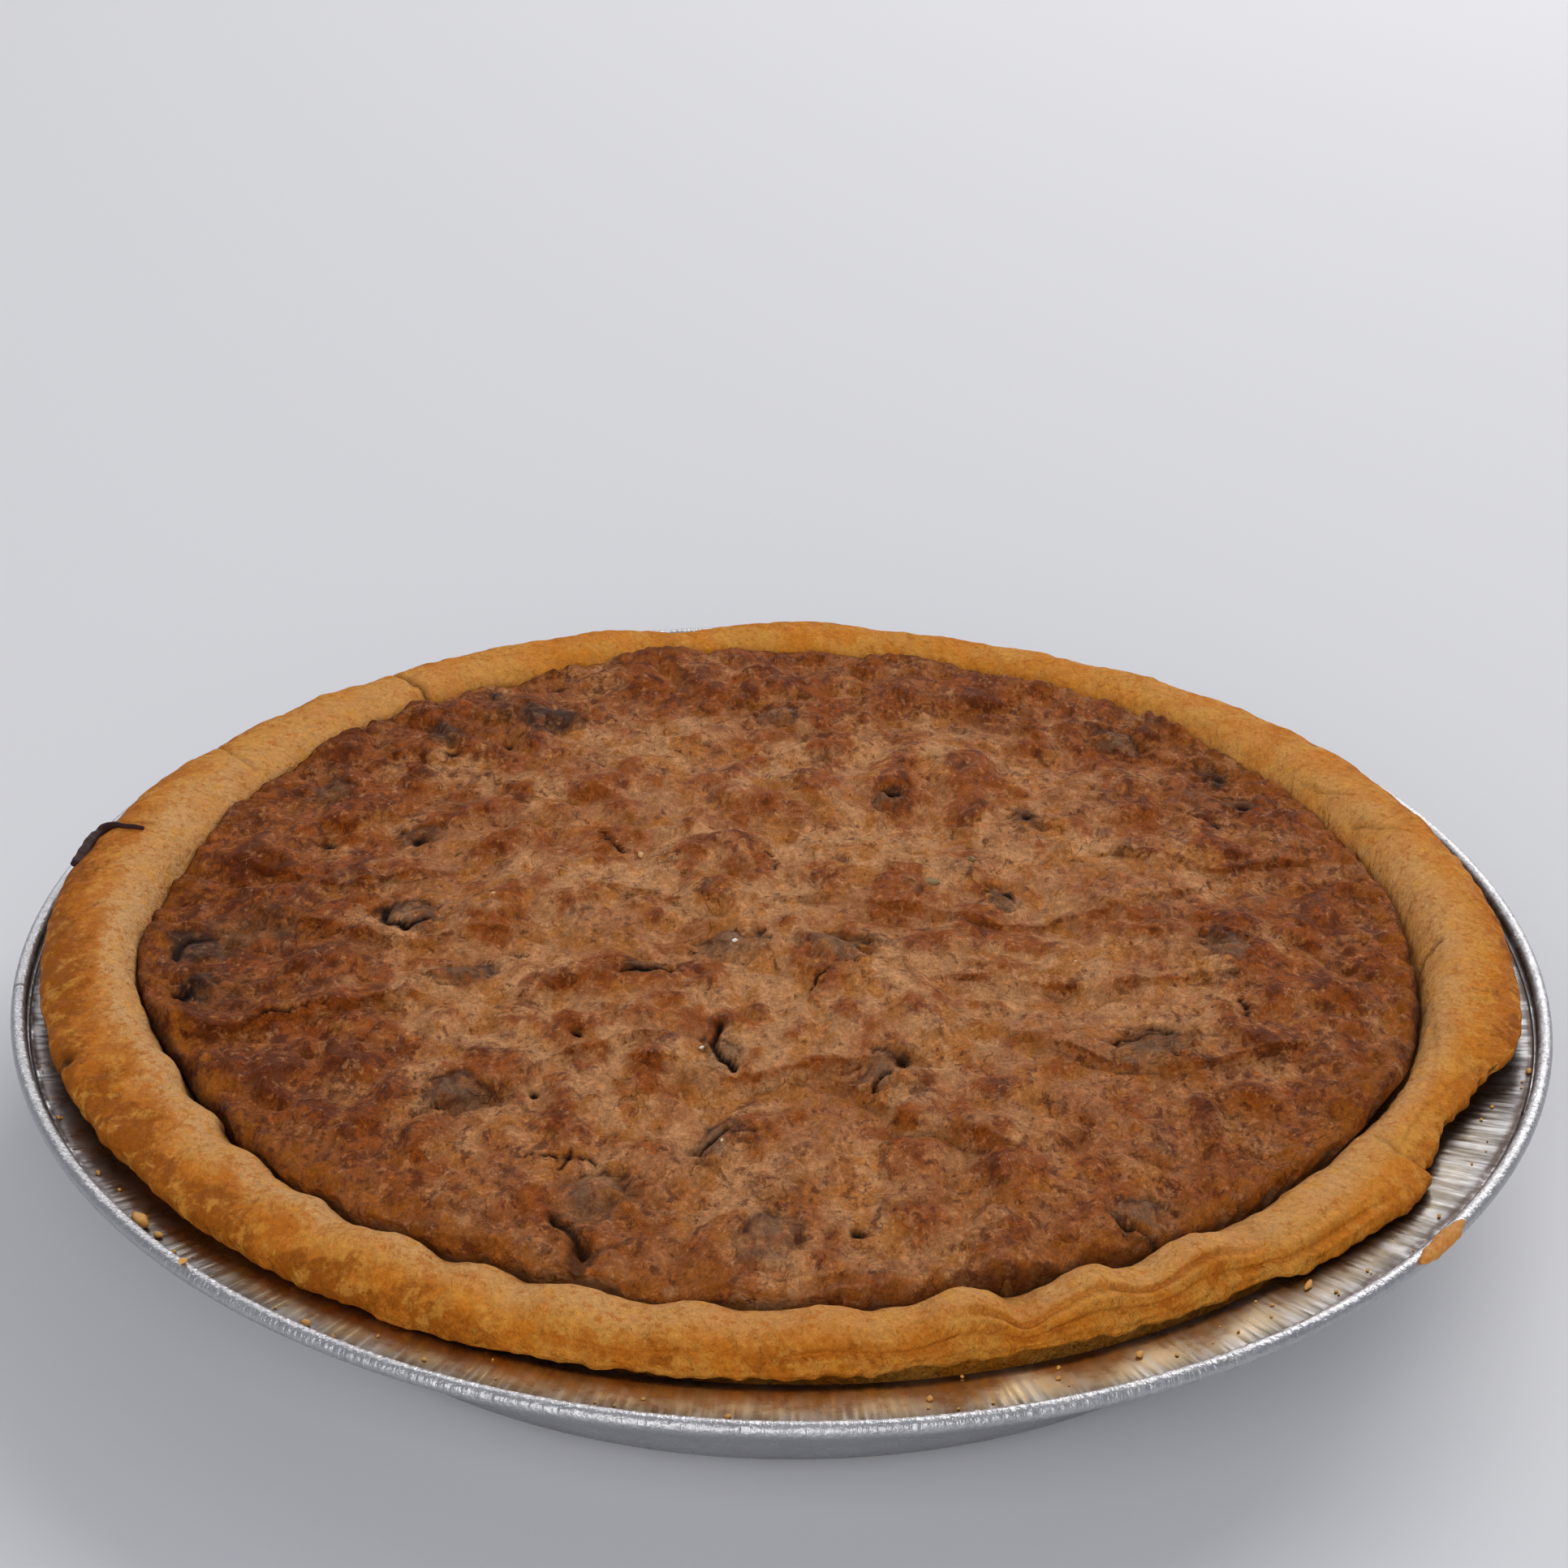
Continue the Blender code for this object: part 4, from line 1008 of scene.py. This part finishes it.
def skin_detail(flat):
    """Detail of the skin in mm, its puffs, and the masks that colour it."""
    warped = pushed(flat, WARP, *((WARP_WIDTH, offset) for offset in WARP_OFFSETS))
    puffs = np.abs(bumps(warped, PUFF_WIDTH, PUFF_OFFSET))
    small_puffs = np.abs(bumps(warped, 6, (2, 8, 5)))
    crinkles = np.abs(bumps(warped, 2.8, (1, 7, 5)))
    fine = bumps(flat, 1.5, (6, 6, 2))
    terrace = np.tanh(bumps(warped, 17, (7, 3, 9)) * 10.0)
    detail = 1.8 * small_puffs + 0.7 * crinkles + 0.18 * fine + 0.5 * terrace - 0.66
    masks = {"rise": np.clip(1.6 * puffs + 0.9 * small_puffs - 0.1, 0, 1)}
    for *ellipse, bareness in CHIPS:
        reach = ellipse_reach(warped, *ellipse)
        ragged = reach + 0.9 * (crinkles - 0.2) + 0.3 * fine
        detail += CHIP_RISE * (1 - smooth(0.0, 1.05, reach)) - 0.7 * hump(ragged, 1.1, 0.2)
        raise_mask(masks, "chip", 1 - smooth(0.5, 1.6, ragged))
        raise_mask(masks, "bare", bareness * (1 - smooth(0.7, 1.05, ragged)))
        # A dark ring of painted shade in the trench round the chip, strongest on its far side.
        x, y = ellipse[:2]
        far_side = np.tanh((warped[:, 1] / MM - y) / 2)
        broken = smooth(-0.1, 0.5, 0.5 * far_side + bumps(flat, 4, (x, y, 0)))
        raise_mask(masks, "ring", hump(ragged, 0.95, 0.17) * broken)
    for *ellipse, strength in SMUDGES:
        ragged = ellipse_reach(warped, *ellipse) + 0.9 * (crinkles - 0.2) + 0.5 * (small_puffs - 0.2)
        raise_mask(masks, "smudge", strength * (1 - smooth(0.55, 1.25, ragged)))
    wobbled = pushed(flat, 0.6 * MM, (2.7, (9, 2, 3)), (2.2, (5, 5, 9)))
    # Cracks and pits cut into the skin, and painted shade darkens them.
    for path, half_width, depth, darkness in CRACKS:
        near = hump(from_path(wobbled, path)[0], 0.0, half_width)
        detail -= near * depth
        raise_mask(masks, "skin_crack_shade", darkness * smooth(0.3, 0.8, near))
    for x, y, radius, depth in PITS:
        near = np.exp(-(np.linalg.norm(wobbled[:, :2] / MM - (x, y), axis=1) / radius) ** 3)
        detail -= near * depth
        raise_mask(masks, "skin_crack_shade", smooth(0.35, 0.9, near))
    for path, height in FOLDS:
        near, signed = from_path(wobbled, path)
        detail += 1.3 * height * hump(near, 0.0, 6.0) * (smooth(-0.6, 0.6, signed) - 0.5)
        raise_mask(masks, "rise", 0.9 * hump(signed, 0.6, 0.8) * (near < 3))
    return detail, puffs, masks


# --- the tin ---
def fold_profile(angles, count, random):
    """Signed fold height, about -1 to 1, at each angle: uneven folds side by side."""
    bounds = np.cumsum(random.uniform(0.5, 1.6, count))
    bounds = np.concatenate([[0.0], bounds / bounds[-1] * 360.0])
    strength = random.uniform(0.25, 1.0, count)
    which = np.clip(np.searchsorted(bounds, angles, side="right") - 1, 0, count - 1)
    t = (angles - bounds[which]) / (bounds[which + 1] - bounds[which])
    return (0.5 - 0.5 * np.cos(2 * math.pi * t)) * 2 * strength[which] - strength[which]


def make_tin(material):
    """The foil tin with its pleated flange, its groove darkened partly by sugar stains and partly by painted
    shade, and its crimped, rolled edge.
    """
    random = np.random.default_rng(RANDOM_SEED)
    angles = np.arange(FOIL_SEGMENTS) * 360.0 / FOIL_SEGMENTS
    pleats = fold_profile(angles, PLEATS, random)
    crimps = fold_profile(angles, CRIMPS, random)
    radius, height, swell, on_bead = tin_outline()
    share = around(PLEAT_SHARE, angles)[0]
    depth = swell * pleats * share * PLEAT_DEPTH + on_bead * (crimps - 0.6) * CRIMP_DEPTH
    outwards, upwards = tin_lift(radius, height)
    grid = polar(angles, radius + depth * outwards, height + depth * upwards)
    top_side = (height > flange_top(radius) - 0.3 * FOIL) & (radius > WALL_TOP_RADIUS)
    top_side = top_side * (1 - on_bead)
    line_radius, line_share = around(SHADE_AND_STAIN_LINE, angles)
    wander = bumps(polar(angles, FLANGE_RADIUS)[:, [0, 1, 0]], 2)
    line = hump(radius, (line_radius + 0.5 * wander) * MM, SHADE_AND_STAIN_WIDTH)
    # Painted shade and sugar stains in the groove and along the line beside it, and the lap's dark joint.
    in_groove = hump(radius, FLANGE_RADIUS + 0.5 * MM, 0.35 * MM) * (height > 28.3 * MM)
    lap = 0.8 * on_bead * hump(angles, LAP_ANGLE, LAP_WIDTH)
    masks = {"shade_and_stain": np.maximum(np.maximum(in_groove, top_side * line_share * line), lap),
             # Where the crust's reflection is painted brown on the flange.
             "crust_reflection": top_side * around(CRUST_REFLECTION, angles)[0] * (1 - smooth(*CRUST_REFLECTION_FADES, radius)),
             # Where the flange's reflections are painted dimmer.
             "flange": top_side * around(FLANGE_REFLECTION_DIMMING, angles)[0],
             "rolled": on_bead, "pleated": swell * share,
             "ribs": polar(angles, FLANGE_RADIUS, 0.1 * radius)}
    verts, faces, attributes = close_sweep(grid, masks)
    tin = make_object("foil_pie_tin", verts, faces, material, attributes)
    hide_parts("foil_tin")


def stretch(start, end, steps, from_swell, to_swell):
    """(radius, height, swell, on bead) rows along a straight stretch of foil, without its end."""
    first = np.array((*start, from_swell, 0.0))
    last = np.array((*end, to_swell, 0.0))
    return [first + (last - first) * t for t in np.arange(steps) / steps]


def tin_outline():
    """The foil's outline from the underside's middle over the bead to the inside's middle.

    Columns of radius, height, and how strongly the pleats and the bead's crimps show.
    """
    middle = (1 * MM, FOIL)
    inner_base = (tin_wall_radius(FOIL, -FOIL) - BASE_CORNER, FOIL)
    inner_foot = (tin_wall_radius(FOIL + BASE_CORNER, -FOIL), FOIL + BASE_CORNER)
    wall_top = (WALL_TOP_RADIUS, WALL_TOP_HEIGHT)
    near_end = (FLANGE_RADIUS - 2 * MM, flange_top(FLANGE_RADIUS - 2 * MM))
    flange_end = (FLANGE_RADIUS, FLANGE_HEIGHT)
    groove = (FLANGE_RADIUS + 0.4 * MM, FLANGE_HEIGHT - GROOVE_DEPTH)
    under_groove = (FLANGE_RADIUS + 0.3 * MM, FLANGE_HEIGHT - GROOVE_DEPTH - FOIL)
    under_flange = (FLANGE_RADIUS - 0.6 * MM, FLANGE_HEIGHT - 1.2 * FOIL)
    outer_top = (WALL_TOP_RADIUS + 0.6 * FOIL, WALL_TOP_HEIGHT - FOIL)
    foot = (tin_wall_radius(BASE_CORNER, 0.0), BASE_CORNER)
    knuckle = (BASE_RADIUS - BASE_CORNER * 0.3, 0.25 * BASE_CORNER)
    base = (BASE_RADIUS - BASE_CORNER, 0.0)
    rows = (stretch(middle, inner_base, 1, 0, 0) + stretch(inner_base, inner_foot, 1, 0, 0.1)
            + stretch(inner_foot, wall_top, 2, 0.1, 0.6) + stretch(wall_top, near_end, 4, 0.7, 1)
            + stretch(near_end, flange_end, 4, 1, 1) + stretch(flange_end, groove, 2, 0.8, 0.2))
    for turn in np.radians(range(236, -125, -24)):
        rows.append((BEAD_CENTRE[0] + BEAD_TUBE * math.cos(turn),
                     BEAD_CENTRE[1] + BEAD_TUBE * math.sin(turn), 0.1, 1.0))
    rows += (stretch(under_groove, under_flange, 1, 0.2, 0.8)
             + stretch(under_flange, outer_top, 3, 1, 0.7) + stretch(outer_top, foot, 5, 0.6, 0.1)
             + stretch(foot, knuckle, 1, 0.1, 0.05) + stretch(knuckle, base, 1, 0.05, 0)
             + stretch(base, (1 * MM, 0.0), 2, 0, 0))
    return np.array(rows)[::-1].T[..., None]


def tin_lift(radius, height):
    """How far (outwards, upwards) a fold of unit height pushes each point of the outline.

    Both faces of the foil move together: up on the flange, up and inwards on
    the side, and away from the middle of the bead.
    """
    across, up = radius - BEAD_CENTRE[0], height - BEAD_CENTRE[1]
    far = np.hypot(across, up)
    on_bead, off_wall = far < BEAD_TUBE * 1.02, radius > WALL_TOP_RADIUS
    return (np.where(on_bead, across / far, np.where(off_wall, 0.0, WALL_LIFT[0])),
            np.where(on_bead, up / far, np.where(off_wall, 1.0, WALL_LIFT[1])))


# --- scattered bits ---
def lump(place, radii, turn, seed):
    """Vertices and faces of one uneven lump."""
    shape = bmesh.new()
    bmesh.ops.create_icosphere(shape, subdivisions=2, radius=1.0)
    spin = Matrix.Rotation(turn, 3, "Z")
    verts = []
    for vert in shape.verts:
        swell = 1 + 0.45 * noise.noise(vert.co * 1.3 + Vector((seed, 0.7 * seed, 2.0)))
        spot = Vector((vert.co.x * radii[0], vert.co.y * radii[1], vert.co.z * radii[2])) * swell
        verts.append(tuple(spin @ spot + Vector(place)))
    faces = [tuple(vert.index for vert in face.verts) for face in shape.faces]
    shape.free()
    return verts, faces


def join(parts):
    """One vertex and face list from many."""
    verts, faces = [], []
    for part_verts, part_faces in parts:
        start = len(verts)
        verts += part_verts
        faces += [tuple(start + index for index in face) for face in part_faces]
    return verts, faces


def on_flange(angle, radius):
    """A point on the tin's flange or bead, in metres, from degrees and mm."""
    height = float(flange_top(radius * MM))
    across = radius * MM - BEAD_CENTRE[0]
    if abs(across) < BEAD_TUBE:
        height = BEAD_CENTRE[1] + math.sqrt(BEAD_TUBE ** 2 - across ** 2)
    return turned(angle, radius * MM, height)


def make_crumbs(material):
    """The crumbs that lie on the flange and in the groove."""
    random = np.random.default_rng(RANDOM_SEED + 1)
    parts = []
    for seed, (angle, radius, length, width) in enumerate(CRUMBS):
        place = on_flange(angle, radius) + Vector((0, 0, 0.35 * width * MM))
        radii = (length * MM / 2, width * MM / 2, 0.42 * width * MM)
        parts.append(lump(place, radii, math.radians(angle + 90 + 20 * seed % 50), seed))
    for seed in range(FINE_CRUMBS):
        angle = random.uniform(*FINE_CRUMB_ANGLES)
        size = random.uniform(*FINE_CRUMB_SIZES)
        inner = float(around(RIM_EDGE, [angle])[0][0]) + 1.0
        radius = inner + (FINE_CRUMB_RADIUS - inner) * random.uniform(0, 1) ** 0.8
        place = on_flange(angle, radius) + Vector((0, 0, 0.3 * size * MM))
        radii = (size * MM / 2, size * MM / 2.6, size * MM / 3)
        parts.append(lump(place, radii, random.uniform(0, math.pi), 50 + seed))
    verts, faces = join(parts)
    make_object("pastry_crumbs", verts, faces, material)


def strip(path, half_widths, thickness, outward):
    """A flat, rounded and slightly ragged strip along a path, facing the outward directions."""
    verts = []
    for k, spot in enumerate(path):
        ahead = path[min(k + 1, len(path) - 1)] - path[max(k - 1, 0)]
        across = ahead.cross(outward[k]).normalized()
        height = thickness * min(1.0, 0.35 + half_widths[k] / max(half_widths))
        for side in range(STRIP_SIDES):
            turn = 2 * math.pi * side / STRIP_SIDES
            rough = 1 + 0.3 * noise.noise(Vector((spot.x, spot.y, side * 0.3 * MM)) / (1.5 * MM))
            reach = across * (math.cos(turn) * half_widths[k] * rough)
            verts.append(tuple(spot + reach + outward[k] * (math.sin(turn) * height * rough)))
    faces = grid_faces(len(path), STRIP_SIDES)
    faces.append(tuple(range(STRIP_SIDES))[::-1])
    faces.append(tuple(range(len(verts) - STRIP_SIDES, len(verts))))
    return verts, faces


def eased(stations, steps):
    """The stations' values at even steps, rounded off between them."""
    table = np.asarray(stations, float)
    count = 12 * steps
    places = np.linspace(0, len(table) - 1, count)
    window = np.hanning(2 * (count // (2 * len(table))) + 1)
    columns = []
    for column in table.T:
        fine = np.interp(places, np.arange(len(table)), column)
        padded = np.pad(fine, len(window) // 2, mode="reflect", reflect_type="odd")
        rounded = np.convolve(padded, window / window.sum(), mode="valid")
        columns.append(np.interp(np.linspace(0, len(table) - 1, steps), places, rounded))
    return np.array(columns).T


def rim_point(angle, share):
    """A place on the smooth rim between its edge and crest, and the way out of it."""
    edge, crest, _ = rim_guides(np.array([angle]))
    turn = share * math.pi / 2
    radius = float(edge[0][0] + (crest[0][0] - edge[0][0]) * (1 - math.cos(turn)))
    height = float(edge[1][0] + (crest[1][0] - edge[1][0]) * math.sin(turn))
    return turned(angle, radius, height), turned(angle, math.cos(turn), math.sin(turn))


def bead_point(angle, outwards):
    """A place on the rolled edge and the way out of it, at degrees outwards from its top."""
    lean = math.radians(outwards)
    out = turned(angle, math.sin(lean), math.cos(lean))
    return turned(angle, *BEAD_CENTRE) + out * BEAD_TUBE, out


def make_chocolate_sliver(material):
    """The charred chocolate sliver on the rim's shoulder, back left."""
    stations = eased(SLIVER, STRIP_STEPS)
    spots, outward = zip(*(rim_point(angle, share) for angle, share, _ in stations))
    raised = [spot + out * 0.25 * MM for spot, out in zip(spots, outward)]
    verts, faces = strip(raised, stations[:, 2] / 2 * MM, SLIVER_RISE, outward)
    make_object("chocolate_sliver", verts, faces, material)


def make_dough_scrap(material):
    """The scrap of dough that is baked onto the rolled edge, front right."""
    stations = eased(SCRAP, STRIP_STEPS)
    spots, outward = zip(*(bead_point(angle, outwards) for angle, outwards, _ in stations))
    verts, faces = strip(spots, stations[:, 2] / 2 * MM, SCRAP_RISE, outward)
    make_object("dough_scrap", verts, faces, material)


def make_bits(material):
    """Flakes, and white specks of painted highlight, that lie on the filling."""
    parts, shades = [], []
    for seed, (x, y, length, shade) in enumerate(BITS):
        flat = np.array([[x * MM, y * MM, 0.0]])
        detail, puffs, _ = skin_detail(flat)
        height = float(base_skin(flat, 100 * MM, puffs)[0]) + (float(detail[0]) + 0.15) * MM
        radii = (length * MM / 2, length * MM / 3.2, min(0.4, 0.3 * length) * MM)
        parts.append(lump((x * MM, y * MM, height), radii, 0.6 * seed, seed + 9))
        shades += [shade] * len(parts[-1][0])
    verts, faces = join(parts)
    make_object("surface_bits", verts, faces, material, {"shade": shades})


# --- stage, light and camera ---
def make_stage():
    """A pale floor just under the tin."""
    mesh = bpy.data.meshes.new("floor")
    corners = [(x * FLOOR_HALF, y * FLOOR_HALF, 0) for x, y in ((-1, -1), (1, -1), (1, 1), (-1, 1))]
    mesh.from_pydata(corners, [], [(0, 1, 2, 3)])
    mesh.materials.append(floor_look())
    floor = add_object("floor", mesh)
    floor.location.z = -0.02 * MM


def make_lights():
    """The studio: a pale sky and the lamps, which all face the pie."""
    world = bpy.data.worlds.new("studio")
    world.use_nodes = True
    sky = world.node_tree.nodes["Background"]
    sky.inputs["Color"].default_value = SKY_COLOUR
    sky.inputs["Strength"].default_value = SKY_STRENGTH
    bpy.context.scene.world = world
    for name, place, size, power, colour, lights_matt in LAMPS:
        data = bpy.data.lights.new(name, "AREA")
        data.size = size
        data.energy = power
        data.color = colour
        lamp = add_object(name, data)
        lamp.location = place
        lamp.rotation_euler = (-Vector(place)).to_track_quat("-Z", "Y").to_euler()
        lamp.visible_diffuse = lights_matt


def make_camera():
    """The photograph's camera."""
    data = bpy.data.cameras.new("camera")
    data.sensor_fit = "HORIZONTAL"
    data.sensor_width = SENSOR_MM
    data.lens = LENS_MM
    camera = add_object("camera", data)
    tilt = Matrix.Rotation(math.radians(90.0 - CAMERA_PITCH), 4, "X")
    roll = Matrix.Rotation(math.radians(CAMERA_ROLL), 4, "Z")
    camera.matrix_world = Matrix.Translation(CAMERA_PLACE) @ tilt @ roll
    bpy.context.scene.camera = camera


def main():
    make_camera()
    make_stage()
    make_lights()
    bpy.context.scene.view_settings.view_transform = "Standard"
    make_tin(foil_look())
    make_crust(pastry_look())
    make_filling(cookie_look())
    make_chocolate_sliver(chocolate_look())
    make_crumbs(crumb_look())
    make_dough_scrap(scrap_look())
    make_bits(bit_look())


main()
